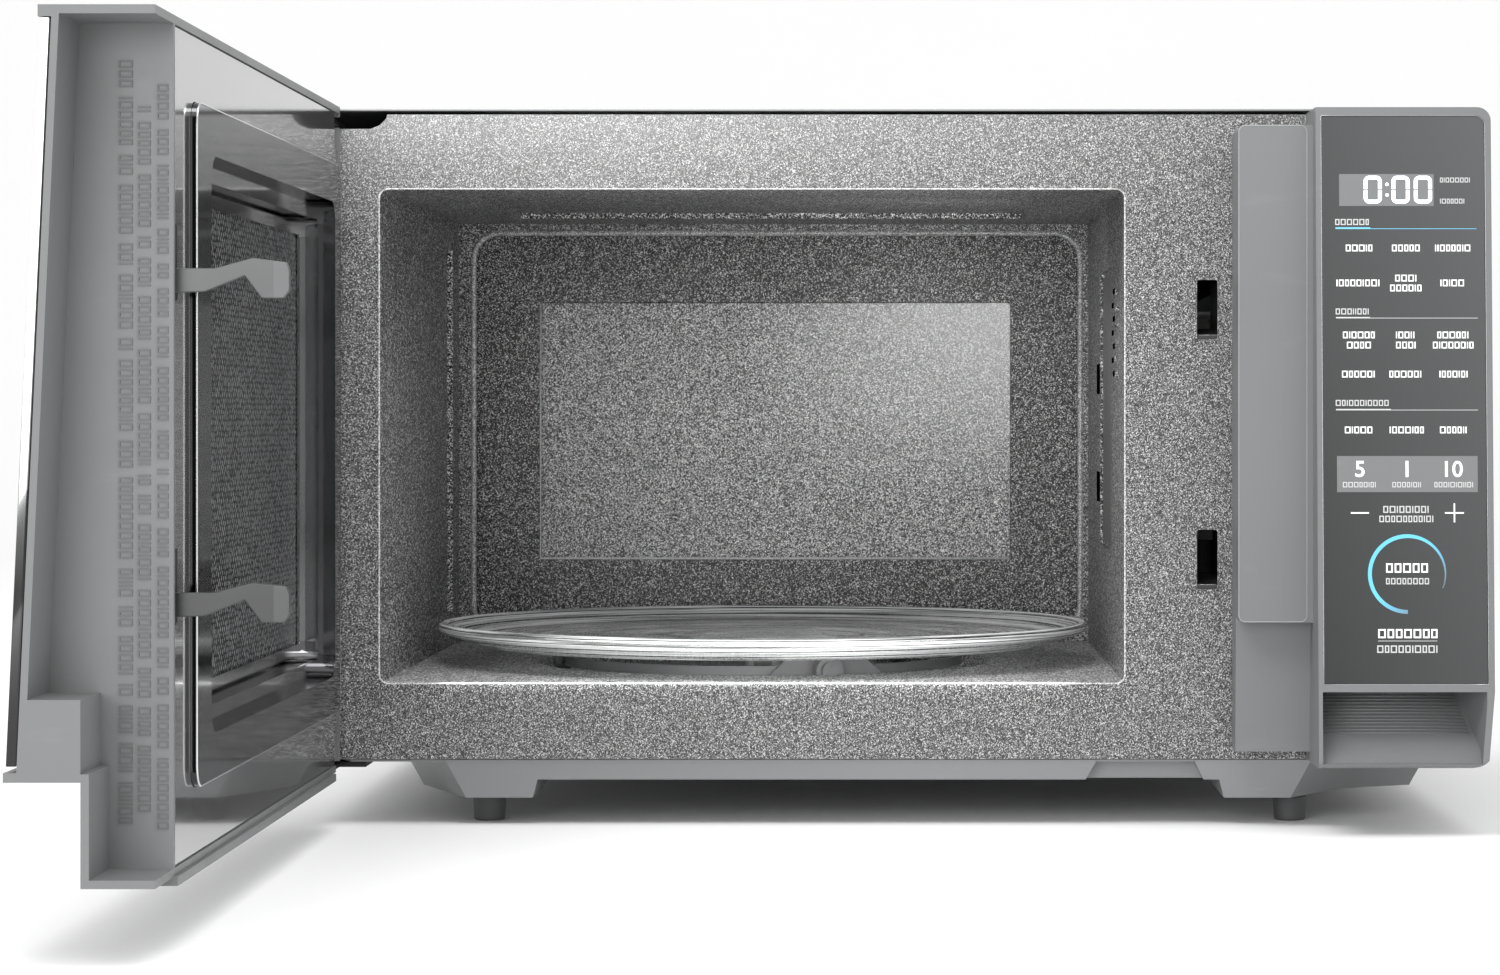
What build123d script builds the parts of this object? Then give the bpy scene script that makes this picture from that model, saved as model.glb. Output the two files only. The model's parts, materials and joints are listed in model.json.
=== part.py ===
from build123d import *
import math
import os

# Countertop microwave oven with its door standing open at a right angle.
# Millimetres. +X to the right, +Y to the rear, +Z up. The origin lies on the table,
# in the middle of the four feet.

# ---- cabinet ----
FRONT = -190.0              # front face of the front plate
DEPTH = 382.0               # front plate to rear panel
REAR = FRONT + DEPTH
HALF_WIDTH = 260.0
TOP = 319.3
SHEET = 1.0                 # sheet steel of the cabinet and the cavity
WRAP_BOTTOM = 30.0
WRAP_RADIUS = 5.0
PLATE_LEFT = -258.6
PLATE_RIGHT = 258.6
PLATE_BOTTOM = 29.9
PLATE_TOP = 316.8
PLATE_FLANGE = 12.0

# ---- cavity ----
CAV_LEFT = -227.2
CAV_RIGHT = 104.8
CAV_FLOOR = 63.5
CAV_TOP = 283.7
CAV_REAR = FRONT + 325.0
RECESS_DEPTH = 5.7          # round turntable recess in the floor
RECESS_RADIUS = 109.0

# ---- base ----
PAN_TOP = 29.6
PAN_FLOOR = 20.5
PAN_BOSS = 12.2
PAN_WALL = 1.6
FOOT_X = 181.0
FOOT_Y = 160.0
FOOT_TOP_R = 7.7
FOOT_BOTTOM_R = 6.9

# ---- turntable ----
TABLE_X = -61.2
TABLE_Y = FRONT + 162.5
PLATE_UNDER = 71.8
PLATE_RADIUS = 157.5
ROLLER_R = 6.9
ROLLER_TRACK = 100.2        # radius of the circle that the rollers run on
ROLLER_Z = 64.8
ROLLER_ANGLES = (-70.7, 49.3, 169.3)
SHAFT_R = 3.0
RUNNING_GAP = 0.06

# ---- door, described closed and then swung open ----
HINGE_X = -251.7
HINGE_Y = FRONT - 10.0
HINGE_PIN_R = 2.5
DOOR_LEFT = -258.2
DOOR_RIGHT = 184.3
DOOR_BODY_RIGHT = 150.3     # end of the thick part of the door
DOOR_BOTTOM = 25.7
DOOR_TOP = 319.6
DOOR_RIM = 2.2              # gap from the plate's plane to the door's rim
DOOR_LOW_THICK = 27.0       # thickness under the finger pull
DOOR_WALL = 2.8
PULL_BOTTOM = 61.0
PULL_TOP = 88.5
GLASS_BOTTOM = 66.3
GLASS_TOP = 315.3
GLASS_THICK = 3.5
GLASS_OUT_LOW = 52.0        # glass face in front of the plate, at the lower edge
GLASS_OUT_HIGH = 40.4       # and at the upper edge
SEAL_LEFT = -246.2
SEAL_RIGHT = 113.3
SEAL_BOTTOM = 52.5
SEAL_TOP = 293.0
SEAL_GAP = 0.5
WINDOW_LEFT = -229.7
WINDOW_RIGHT = 84.8
WINDOW_BOTTOM = 69.0
WINDOW_TOP = 276.0
CHOKE_GROW = 8.0            # how far the choke flange reaches past the sealing land
CHOKE_OUT = 22.0
DOOR_SCREW_X = (SEAL_LEFT - 4.6, SEAL_RIGHT + 4.6)
DOOR_SCREW_Z = (110.0, 180.0, 270.0)

# ---- latch ----
HOOK_LEFT = 139.5
HOOK_RIGHT = 142.5
HOOK_PITCH = 111.2
SPRING_BOTTOM = 255.2
SPRING_TOP = 270.0

# ---- control panel ----
PANEL_LEFT = 185.3
PANEL_RIGHT = 261.5
PANEL_BOTTOM = 30.5
PANEL_TOP = 317.0
PANEL_OUT_LOW = 53.0
PANEL_OUT_HIGH = 40.0
PANEL_WALL = 2.5
SCOOP_BOTTOM = 32.0
SCOOP_TOP = 63.4
SCOOP_BACK = 18.0           # how far in front of the plate the scoop's deepest edge lies
TOUCH_BOTTOM = 66.5
TOUCH_TOP = 313.5
GLASS_CORNER = 4.5
STRIP_LEFT = 152.5
STRIP_OUT = 31.0
STRIP_LOW_OUT = 18.0
STRIP_STEP = 92.3
STRIP_TOP = 310.0
STRIP_BOTTOM = 34.6
DISPLAY_X0 = 192.0
DISPLAY_X1 = 238.0
DISPLAY_Z0 = 274.0
DISPLAY_Z1 = 292.0

# ---- component bay, between the cavity and the right side ----
BAY_LEFT = CAV_RIGHT + 3.2
DUCT_RIGHT = BAY_LEFT + 36
YOKE_Z0 = 152.0
YOKE_Z1 = 232.0
YOKE_X1 = DUCT_RIGHT + 62
MAG_Y = FRONT + 155
MAG_Z = (YOKE_Z0 + YOKE_Z1) / 2
CORE_X0 = 118.0
CORE_X1 = 208.0
CORE_Y0 = FRONT + 130
CORE_Y1 = FRONT + 205
CORE_Z0 = 33.0
CORE_Z1 = 103.0
CAP_X = 232.0
CAP_Y = FRONT + 250
FAN_X = 190.0
FAN_Z = 196.0
FAN_Y = FRONT + 322
FAN_R = 52.0
LAMP_Y = FRONT + 92
LAMP_Z = 220.0
GLAND_X = 228.0
GLAND_Z = 62.0
GLAND_BORE_R = 3.8

# A plane across the oven's front: u is up, v is to the right, w runs to the rear.
FACING = Plane(origin=(0, FRONT, 0), x_dir=(0, 0, 1), z_dir=(0, 1, 0))


# ---- shape helpers ----
def block(x0, x1, y0, y1, z0, z1):
    """Box between two corners."""
    return Pos((x0 + x1) / 2, (y0 + y1) / 2, (z0 + z1) / 2) * Box(x1 - x0, y1 - y0, z1 - z0)


def slab(x0, x1, z0, z1, w0, w1, radius):
    """Upright rounded rectangle, from depth w0 to w1 behind the front plate's face."""
    outline = RectangleRounded(z1 - z0, x1 - x0, radius)
    return extrude(FACING * Pos((z0 + z1) / 2, (x0 + x1) / 2, w0) * outline, amount=w1 - w0)


def ring_slab(x0, x1, z0, z1, w0, w1, radius, width):
    """Upright rounded rectangle with its middle cut out, leaving a border of that width."""
    inner = max(radius - width, 0.5)
    hole = slab(x0 + width, x1 - width, z0 + width, z1 - width, w0 - 1, w1 + 1, inner)
    return slab(x0, x1, z0, z1, w0, w1, radius) - hole


def along_x(points, x0, x1):
    """Outline of (y, z) points, swept along X."""
    face = Plane.YZ * make_face(Polyline(*points, close=True))
    return Pos(x0, 0, 0) * extrude(face, amount=x1 - x0, dir=(1, 0, 0))


def along_y(points, y0, y1):
    """Outline of (x, z) points, swept along Y."""
    face = Plane.XZ * make_face(Polyline(*points, close=True))
    return Pos(0, y0, 0) * extrude(face, amount=y1 - y0, dir=(0, 1, 0))


def along_z(points, z0, z1):
    """Outline of (x, y) points, swept along Z."""
    face = make_face(Polyline(*points, close=True))
    return Pos(0, 0, z0) * extrude(face, amount=z1 - z0, dir=(0, 0, 1))


def rod_x(x0, x1, y, z, radius):
    """Round bar along X."""
    return Pos((x0 + x1) / 2, y, z) * Rot(0, 90, 0) * Cylinder(radius, x1 - x0)


def rod_y(x, y0, y1, z, radius):
    """Round bar along Y."""
    return Pos(x, (y0 + y1) / 2, z) * Rot(90, 0, 0) * Cylinder(radius, y1 - y0)


def rod_z(x, y, z0, z1, radius):
    """Round bar along Z."""
    return Pos(x, y, (z0 + z1) / 2) * Cylinder(radius, z1 - z0)


def front_line(out_low, z_low, out_high, z_high, z):
    """How far a leaning front stands out from the plate at height z."""
    return out_low + (out_high - out_low) * (z - z_low) / (z_high - z_low)


def glass_out(z):
    """Distance from the front plate's plane to the door glass's outer face."""
    return front_line(GLASS_OUT_LOW, 64.0, GLASS_OUT_HIGH, GLASS_TOP, z)


def panel_out(z):
    """Distance from the front plate's plane to the control panel's face."""
    return front_line(PANEL_OUT_LOW, 58.0, PANEL_OUT_HIGH, PANEL_TOP, z)


def ahead(profile):
    """Turn (distance in front of the plate, z) points into (y, z) points."""
    return [(FRONT - out, z) for out, z in profile]


def opened(shape):
    """Swing a door piece from closed to its rest pose, a quarter turn open."""
    return shape.rotate(Axis((HINGE_X, HINGE_Y, 0), (0, 0, 1)), -90)


def screw(x, y, z, turn, head_r=4.0, shank_r=1.9, shank=7.0):
    """Pan-head screw with a cross recess. Its head points along local +Z, turned by `turn`."""
    head = Cylinder(head_r, 2.2, align=(Align.CENTER, Align.CENTER, Align.MIN))
    head = fillet(head.edges().sort_by(Axis.Z)[-1], 1.2)
    slot = Pos(0, 0, 2.0) * Box(head_r * 1.1, 0.9, 1.6)
    cross = slot + Rot(0, 0, 90) * slot
    stem = Cylinder(shank_r, shank, align=(Align.CENTER, Align.CENTER, Align.MAX))
    return Pos(x, y, z) * turn * (head - cross + stem)


# ---- cabinet ----
def make_outer_wrap():
    """Folded sheet over the top and both sides, with hemmed lower edges."""
    outer = slab(-HALF_WIDTH, HALF_WIDTH, 0, TOP, 0, DEPTH, WRAP_RADIUS)
    edge = HALF_WIDTH - SHEET
    inner = slab(-edge, edge, -10, TOP - SHEET, -1, DEPTH + 1, WRAP_RADIUS - SHEET)
    below = block(-300, 300, FRONT - 5, REAR + 5, -20, WRAP_BOTTOM)
    shell = outer - inner - below
    for row in range(7):
        for column in range(4):
            y = FRONT + 70 + column * 22
            z = 200 + row * 9
            shell -= block(HALF_WIDTH - 3, HALF_WIDTH + 3, y, y + 16, z, z + 3)
    return shell


def make_rear_panel():
    """Flat rear wall with intake louvres at the fan and slots above the cavity."""
    edge = HALF_WIDTH - SHEET - 0.2
    panel = slab(-edge, edge, 30.2, TOP - SHEET - 0.2, DEPTH - SHEET, DEPTH, WRAP_RADIUS - SHEET)
    for row in range(12):
        for column in range(3):
            x = 140 + column * 34
            z = 150 + row * 8
            panel -= block(x, x + 26, REAR - 5, REAR + 5, z, z + 3.2)
    for row in range(4):
        for column in range(5):
            x = -210 + column * 40
            z = 270 + row * 8
            panel -= block(x, x + 28, REAR - 5, REAR + 5, z, z + 3.2)
    panel -= rod_y(GLAND_X, REAR - 5, REAR + 5, GLAND_Z, 8.0)
    return panel


def make_cord_gland():
    """Split-flange inlet for the supply cord, with its bore left empty."""
    body = rod_y(GLAND_X, REAR - 9, REAR, GLAND_Z, 8.0)
    flange = rod_y(GLAND_X, REAR, REAR + 3, GLAND_Z, 11.0)
    clip = rod_y(GLAND_X, REAR - 9, REAR - 1.2, GLAND_Z, 9.2) - rod_y(GLAND_X, REAR - 9, REAR, GLAND_Z, 8.0)
    bore = rod_y(GLAND_X, REAR - 20, REAR + 20, GLAND_Z, GLAND_BORE_R)
    return body + flange + clip - bore


def pan_shape(inset, top):
    """Tapered tray with four foot bosses, shrunk on every face by an inset."""
    lower = 9.0
    plan = [
        (-198, 0.8), (-224, 62), (-224, 372), (255, 372),
        (255, 96), (249, 62), (216, 46), (188, 0.8),
    ]
    centre_x = 16.0
    centre_y = 186.0

    def outline(shrink, z):
        points = []
        for x, w in plan:
            px = x - math.copysign(shrink, x - centre_x)
            py = FRONT + w - math.copysign(shrink * (0.5 if w < centre_y else 1.0), w - centre_y)
            points.append((px, py, z))
        return make_face(Polyline(*points, close=True))

    body = loft([outline(inset, top), outline(lower + inset, PAN_BOSS + inset)])
    low = PAN_FLOOR + inset
    middle = [(-157 - inset, low), (-164 - inset, -5), (154 + inset, -5), (147 + inset, low)]
    body -= along_y(middle, FRONT - 5, REAR + 5)
    between = [
        (FRONT + 78 - inset, low), (FRONT + 70 - inset, -5),
        (FRONT + 310 + inset, -5), (FRONT + 302 + inset, low),
    ]
    body -= along_x(between, -300, 300)
    notch = [(92 - inset, 60), (92 - inset, PAN_TOP - 1), (76 - inset, 0), (150 + inset, 0),
             (136 + inset, PAN_TOP - 1), (136 + inset, 60)]
    body -= along_y(notch, FRONT - 5, FRONT + 12 + inset)
    return body


def make_base_pan():
    """Pressed base tray with a flange that closes the cabinet's underside."""
    flange_points = [
        (-240, FRONT + 2), (-258, FRONT + 32), (-258, REAR - 3),
        (258, REAR - 3), (258, FRONT + 2),
    ]
    flange = along_z(flange_points, PAN_TOP - SHEET, PAN_TOP)
    pan = pan_shape(0, PAN_TOP) + flange - pan_shape(PAN_WALL, PAN_TOP + 2)
    for x in (-FOOT_X, FOOT_X):
        for y in (-FOOT_Y, FOOT_Y):
            pan -= rod_z(x, y, 0, 25, 2.5)
    for row in range(5):
        pan -= block(60, 130, FRONT + 120 + row * 14, FRONT + 126 + row * 14, 10, 25)
    return pan


def make_feet():
    """Four tapered rubber feet, each with a stem pushed into the base."""
    body = Solid.make_cone(FOOT_BOTTOM_R, FOOT_TOP_R, PAN_BOSS)
    body = fillet(body.edges().sort_by(Axis.Z)[0], 1.0)
    stem = rod_z(0, 0, PAN_BOSS, PAN_BOSS + 1.8, 2.4)
    barb = Pos(0, 0, PAN_BOSS + PAN_WALL + 0.2) * Solid.make_cone(3.4, 1.6, 4.0)
    foot = body + stem + barb
    return [Pos(x, y, 0) * foot for x in (-FOOT_X, FOOT_X) for y in (-FOOT_Y, FOOT_Y)]


def make_front_plate():
    """Enamelled front plate with the cavity mouth, latch slots and turned-back flanges."""
    plate = block(PLATE_LEFT, PLATE_RIGHT, FRONT, FRONT + SHEET, PLATE_BOTTOM, PLATE_TOP)
    flanges = [
        block(PLATE_LEFT, PLATE_RIGHT, FRONT, FRONT + PLATE_FLANGE, PLATE_TOP - SHEET, PLATE_TOP),
        block(PLATE_LEFT, PLATE_RIGHT, FRONT, FRONT + PLATE_FLANGE, PLATE_BOTTOM, PLATE_BOTTOM + SHEET),
        block(PLATE_LEFT, PLATE_LEFT + SHEET, FRONT, FRONT + PLATE_FLANGE, PLATE_BOTTOM, PLATE_TOP),
        block(PLATE_RIGHT - SHEET, PLATE_RIGHT, FRONT, FRONT + PLATE_FLANGE, PLATE_BOTTOM, PLATE_TOP),
    ]
    for flange in flanges:
        plate += flange
    plate &= slab(PLATE_LEFT, PLATE_RIGHT, 0, PLATE_TOP, -5, 50, WRAP_RADIUS - SHEET)
    plate -= slab(CAV_LEFT, CAV_RIGHT, CAV_FLOOR, CAV_TOP, -5, 5, 4.0)
    for drop in (0, HOOK_PITCH):
        slot = slab(136.9, 146.0, 216.7 - drop, 243.2 - drop, -5, 5, 1.0)
        plate -= slot
    plate -= slab(192, 252, 70, 300, -5, 5, 4.0)
    corner = [(-270, 330), (-270, 310.4), (-231, 310.4), (-227, 312), (-224, 315), (-221, 330)]
    plate -= along_y(corner, FRONT - 5, FRONT + 40)
    low_corner = [(-270, 20), (-270, 34), (-258, 34), (-250, 30.5), (-247, 20)]
    plate -= along_y(low_corner, FRONT - 5, FRONT + 40)
    return plate


# ---- cavity ----
def make_cavity_left_wall():
    """Left cavity wall with a pressed-out band."""
    wall = block(CAV_LEFT - SHEET, CAV_LEFT, FRONT + SHEET, CAV_REAR, CAV_FLOOR, CAV_TOP)
    bulge = block(CAV_LEFT - 4, CAV_LEFT, FRONT + 189, FRONT + 298, 80, 270)
    hollow = block(CAV_LEFT - 3, CAV_LEFT + 1, FRONT + 190, FRONT + 297, 81, 269)
    return wall + bulge - hollow


def make_cavity_right_wall():
    """Right cavity wall with the waveguide window, lamp holes and steam slots."""
    wall = block(CAV_RIGHT, CAV_RIGHT + SHEET, FRONT + SHEET, CAV_REAR, CAV_FLOOR, CAV_TOP)
    bulge = block(CAV_RIGHT, CAV_RIGHT + 3, FRONT + 105, FRONT + 205, 118, 254)
    hollow = block(CAV_RIGHT - 1, CAV_RIGHT + 2, FRONT + 106, FRONT + 204, 119, 253)
    window = block(CAV_RIGHT - 5, CAV_RIGHT + 5, FRONT + 120, FRONT + 190, 133, 239)
    wall = wall + bulge - hollow - window
    for row in range(6):
        for column in range(5):
            y = FRONT + 47 + column * 7
            z = 202 + row * 7.5
            wall -= rod_x(CAV_RIGHT - 5, CAV_RIGHT + 5, y, z, 2.0)
    for z in (139.7, 193.5):
        wall -= block(CAV_RIGHT - 5, CAV_RIGHT + 5, FRONT + 214, FRONT + 219, z, z + 15)
    return wall


def make_cavity_ceiling():
    """Cavity ceiling with a shallow stiffening press."""
    sheet = block(CAV_LEFT - SHEET, CAV_RIGHT + SHEET, FRONT + SHEET, CAV_REAR, CAV_TOP, CAV_TOP + SHEET)
    bulge = block(-190, 70, FRONT + 60, FRONT + 270, CAV_TOP, CAV_TOP + 4)
    hollow = block(-189, 69, FRONT + 61, FRONT + 269, CAV_TOP - 1, CAV_TOP + 3)
    return sheet + bulge - hollow


def make_cavity_floor():
    """Cavity floor with the round recess that the roller ring runs in."""
    sheet = block(CAV_LEFT - SHEET, CAV_RIGHT + SHEET, FRONT + SHEET, CAV_REAR, CAV_FLOOR - SHEET, CAV_FLOOR)
    bottom = CAV_FLOOR - RECESS_DEPTH
    dish = Pos(TABLE_X, TABLE_Y, bottom - SHEET) * Solid.make_cone(
        RECESS_RADIUS - 4 + SHEET, RECESS_RADIUS + SHEET, RECESS_DEPTH + SHEET)
    hollow = Pos(TABLE_X, TABLE_Y, bottom) * Solid.make_cone(
        RECESS_RADIUS - 4, RECESS_RADIUS + 0.7, RECESS_DEPTH + 1)
    drain = rod_z(TABLE_X, TABLE_Y, 40, 70, 12.0)
    return sheet + dish - hollow - drain


def make_cavity_back():
    """Cavity rear wall, pressed back in two steps."""
    w = CAV_REAR - FRONT
    first = 10.0
    second = 16.0
    low = CAV_FLOOR - SHEET
    wall = slab(CAV_LEFT - SHEET, CAV_RIGHT + SHEET, low, CAV_TOP + SHEET, w, w + SHEET, 4.0)
    wall += slab(-220.4, 101.7, 67.5, 280, w, w + first + SHEET, 15.0)
    wall += slab(-185.9, 65.1, 106, 243.6, w, w + second + SHEET, 3.0)
    wall -= slab(-219.4, 100.7, 68.5, 279, w - 5, w + first, 14.0)
    wall -= slab(-184.9, 64.1, 107, 242.6, w - 5, w + second, 2.0)
    return wall


def make_waveguide_cover():
    """Mica sheet over the waveguide window, seated in the wall's recess."""
    return block(CAV_RIGHT + 1.2, CAV_RIGHT + 1.8, FRONT + 108, FRONT + 202, 121, 251)


# ---- component bay ----
def make_waveguide_duct():
    """Rectangular guide from the magnetron to the cavity window, open on the cavity side."""
    outer = block(BAY_LEFT, DUCT_RIGHT, FRONT + 116, FRONT + 194, 129, 243)
    inner = block(BAY_LEFT - 1, DUCT_RIGHT - SHEET, FRONT + 117, FRONT + 193, 130, 242)
    port = rod_x(DUCT_RIGHT - 5, DUCT_RIGHT + 5, MAG_Y, MAG_Z, 12)
    return outer - inner - port


def make_magnetron_yoke():
    """Steel yoke around the magnetron."""
    outer = block(DUCT_RIGHT + 0.2, YOKE_X1, MAG_Y - 42, MAG_Y + 42, YOKE_Z0, YOKE_Z1)
    inner = block(DUCT_RIGHT + 2, YOKE_X1 - 2, MAG_Y - 60, MAG_Y + 60, YOKE_Z0 + 2, YOKE_Z1 - 2)
    port = rod_x(DUCT_RIGHT - 2, DUCT_RIGHT + 4, MAG_Y, MAG_Z, 9.5)
    back = rod_x(YOKE_X1 - 5, YOKE_X1 + 2, MAG_Y, MAG_Z, 13)
    return outer - inner - port - back


def make_magnetron_fins():
    """Anode barrel with its stack of cooling fins."""
    barrel = rod_x(DUCT_RIGHT + 6, YOKE_X1 - 6, MAG_Y, MAG_Z, 20)
    for index in range(7):
        x = DUCT_RIGHT + 12 + index * 6
        barrel += block(x, x + 1.0, MAG_Y - 40, MAG_Y + 40, YOKE_Z0 + 3, YOKE_Z1 - 3)
    return barrel


def make_magnetron_antenna():
    """Antenna cap and its neck, reaching into the waveguide."""
    neck = rod_x(DUCT_RIGHT - 4, DUCT_RIGHT + 6, MAG_Y, MAG_Z, 9.0)
    cap = rod_x(DUCT_RIGHT - 22, DUCT_RIGHT - 4, MAG_Y, MAG_Z, 7.5)
    return neck + cap


def make_magnetron_filter_box():
    """Filter box on the cathode end, with two supply terminals."""
    box = block(YOKE_X1 + 0.2, YOKE_X1 + 26, MAG_Y - 26, MAG_Y + 26, MAG_Z - 26, MAG_Z + 26)
    inner = 24.7
    box -= block(YOKE_X1 + 1.5, YOKE_X1 + inner, MAG_Y - inner, MAG_Y + inner, MAG_Z - inner, MAG_Z + inner)
    socket = block(YOKE_X1 + 5, YOKE_X1 + 22, MAG_Y - 36, MAG_Y - 25.5, MAG_Z - 12, MAG_Z + 12)
    return box + socket


def make_magnetron_screws():
    """Four screws that hold the magnetron to the waveguide."""
    screws = []
    for y in (MAG_Y - 33, MAG_Y + 33):
        for z in (MAG_Z - 33, MAG_Z + 33):
            screws.append(screw(DUCT_RIGHT + 2, y, z, Rot(0, 90, 0), shank=1.7))
    return screws


def make_transformer_core():
    """Laminated core with two winding windows and welded feet."""
    core = block(CORE_X0, CORE_X1, CORE_Y0, CORE_Y1, CORE_Z0, CORE_Z1)
    for x in (CORE_X0 + 15, CORE_X1 - 33):
        core -= block(x, x + 18, CORE_Y0 - 5, CORE_Y1 + 5, CORE_Z0 + 15, CORE_Z1 - 15)
    feet = block(CORE_X0 - 8, CORE_X1 + 8, CORE_Y0 + 8, CORE_Y1 - 8, CORE_Z0 - 3, CORE_Z0)
    return core + feet


def make_transformer_windings():
    """Primary and secondary coils around the core's middle limb."""
    coils = []
    for z0, z1 in ((CORE_Z0 + 16, CORE_Z0 + 34), (CORE_Z0 + 36, CORE_Z1 - 16)):
        outer = block(CORE_X0 + 16, CORE_X1 - 16, CORE_Y0 - 14, CORE_Y1 + 14, z0, z1)
        outer = fillet(outer.edges().filter_by(Axis.Z), 10)
        limb = block(CORE_X0 + 32.5, CORE_X1 - 32.5, CORE_Y0 - 0.5, CORE_Y1 + 0.5, z0 - 1, z1 + 1)
        coils.append(outer - limb)
    return coils


def make_hv_capacitor():
    """Oval high-voltage capacitor standing on the base, with two blade terminals."""
    can = extrude(Pos(CAP_X, CAP_Y, 31) * Rot(0, 0, 90) * SlotOverall(62, 32), amount=88)
    for y in (CAP_Y - 12, CAP_Y + 12):
        can += rod_z(CAP_X, y, 119, 124, 5)
        can += block(CAP_X - 0.4, CAP_X + 0.4, y - 3, y + 3, 124, 134)
    return can


def make_capacitor_clamp():
    """Strap that holds the capacitor to the base."""
    band = extrude(Pos(CAP_X, CAP_Y, 70) * Rot(0, 0, 90) * SlotOverall(64.8, 34.8), amount=14)
    band -= extrude(Pos(CAP_X, CAP_Y, 69) * Rot(0, 0, 90) * SlotOverall(62.4, 32.4), amount=16)
    leg = block(CAP_X - 12, CAP_X + 8, CAP_Y + 32.2, CAP_Y + 33.4, 30, 84)
    foot = block(CAP_X - 12, CAP_X + 8, CAP_Y + 32.2, CAP_Y + 44, 30, 31.2)
    return band + leg + foot


def make_hv_diode():
    """High-voltage diode between the capacitor and the chassis."""
    body = rod_y(CAP_X - 26, CAP_Y - 14, CAP_Y + 8, 128, 4.0)
    leads = rod_y(CAP_X - 26, CAP_Y - 30, CAP_Y + 26, 128, 0.9)
    return body + leads


def make_fan_shroud():
    """Moulded duct plate around the fan, with a collar and motor arms."""
    plate = block(FAN_X - 62, FAN_X + 62, FAN_Y + 10, FAN_Y + 13, FAN_Z - 64, FAN_Z + 64)
    collar = rod_y(FAN_X, FAN_Y - 12, FAN_Y + 12, FAN_Z, FAN_R + 5)
    hole = rod_y(FAN_X, FAN_Y - 20, FAN_Y + 20, FAN_Z, FAN_R + 2.5)
    shroud = plate + collar - hole
    for angle in (45, 135, 225, 315):
        dx = math.cos(math.radians(angle)) * (FAN_R + 3)
        dz = math.sin(math.radians(angle)) * (FAN_R + 3)
        shroud += rod_y(FAN_X + dx, FAN_Y + 11, FAN_Y + 36, FAN_Z + dz, 3)
    for angle in (45, 135):
        arm = Pos(FAN_X, FAN_Y + 34.5, FAN_Z) * Rot(0, angle, 0) * Box(2 * FAN_R + 8, 3, 7)
        shroud += arm
    return shroud - rod_y(FAN_X, FAN_Y + 30, FAN_Y + 40, FAN_Z, 6)


def make_fan_motor():
    """Shaded-pole motor held on the shroud's arms."""
    stack = block(FAN_X - 22, FAN_X + 22, FAN_Y + 14.5, FAN_Y + 32.5, FAN_Z - 26, FAN_Z + 26)
    bearing = rod_y(FAN_X, FAN_Y + 13.5, FAN_Y + 38, FAN_Z, 5.5)
    bore = rod_y(FAN_X, FAN_Y, FAN_Y + 45, FAN_Z, 2.0 + RUNNING_GAP)
    return stack + bearing - bore


def make_fan_blades():
    """Five-bladed fan on its shaft."""
    hub = rod_y(FAN_X, FAN_Y - 7, FAN_Y + 9, FAN_Z, 12)
    fan = hub + rod_y(FAN_X, FAN_Y + 9, FAN_Y + 39.5, FAN_Z, 2.0)
    for index in range(5):
        blade = Pos(31, 0, 0) * Rot(32, 0, 0) * Box(40, 1.6, 22)
        blade = blade & (Rot(90, 0, 0) * Cylinder(FAN_R - 1, 40))
        fan += Pos(FAN_X, FAN_Y + 1, FAN_Z) * Rot(0, index * 72, 0) * blade
    return fan


def make_air_duct():
    """Moulded duct that leads the fan's air past the magnetron."""
    outer = block(124, 254, FRONT + 205, FRONT + 306, 240, 262)
    inner = block(126, 252, FRONT + 200, FRONT + 310, 238, 260)
    return outer - inner


def make_cavity_lamp():
    """Small lamp behind the wall's holes: glass bulb and its cap."""
    bulb = rod_x(CAV_RIGHT + 7, CAV_RIGHT + 25, LAMP_Y, LAMP_Z, 9)
    bulb = fillet(bulb.edges().filter_by(GeomType.CIRCLE), 4.0)
    cap = rod_x(CAV_RIGHT + 25, CAV_RIGHT + 34, LAMP_Y, LAMP_Z, 6)
    return bulb + cap


def make_lamp_socket():
    """Socket and bracket of the cavity lamp."""
    socket = rod_x(CAV_RIGHT + 26, CAV_RIGHT + 44, LAMP_Y, LAMP_Z, 9)
    socket -= rod_x(CAV_RIGHT + 20, CAV_RIGHT + 34.2, LAMP_Y, LAMP_Z, 6.2)
    arm = block(CAV_RIGHT + 36, CAV_RIGHT + 42, LAMP_Y, LAMP_Y + 18, LAMP_Z - 6, LAMP_Z + 6)
    return socket + arm


def make_filter_board():
    """Mains filter board with its choke, capacitor and fuse."""
    y0 = REAR - 60
    board = block(CAV_RIGHT + 20, CAV_RIGHT + 100, y0, y0 + 50, 285, 286.6)
    board += rod_z(CAV_RIGHT + 42, y0 + 25, 286.6, 302, 12)
    board += block(CAV_RIGHT + 62, CAV_RIGHT + 80, y0 + 10, y0 + 40, 286.6, 298)
    board += rod_y(CAV_RIGHT + 90, y0 + 12, y0 + 38, 290, 3.4)
    return board


def make_thermal_cutout():
    """Thermal cut-out on the cavity ceiling."""
    disc = rod_z(80, FRONT + 40, CAV_TOP + SHEET, CAV_TOP + 9, 9)
    flange = block(64, 96, FRONT + 35, FRONT + 45, CAV_TOP + SHEET, CAV_TOP + 2)
    return disc + flange


# ---- turntable ----
def make_turntable_motor():
    """Flat synchronous gearmotor under the cavity floor."""
    can = rod_z(TABLE_X, TABLE_Y, 37, 54.5, 24.5)
    ears = block(TABLE_X - 33, TABLE_X + 33, TABLE_Y - 5, TABLE_Y + 5, 53.3, 54.5)
    socket = block(TABLE_X - 8, TABLE_X + 8, TABLE_Y - 36, TABLE_Y - 22, 40, 52)
    bore = rod_z(TABLE_X, TABLE_Y, 44, 60, SHAFT_R + RUNNING_GAP)
    return can + ears + socket - bore


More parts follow.
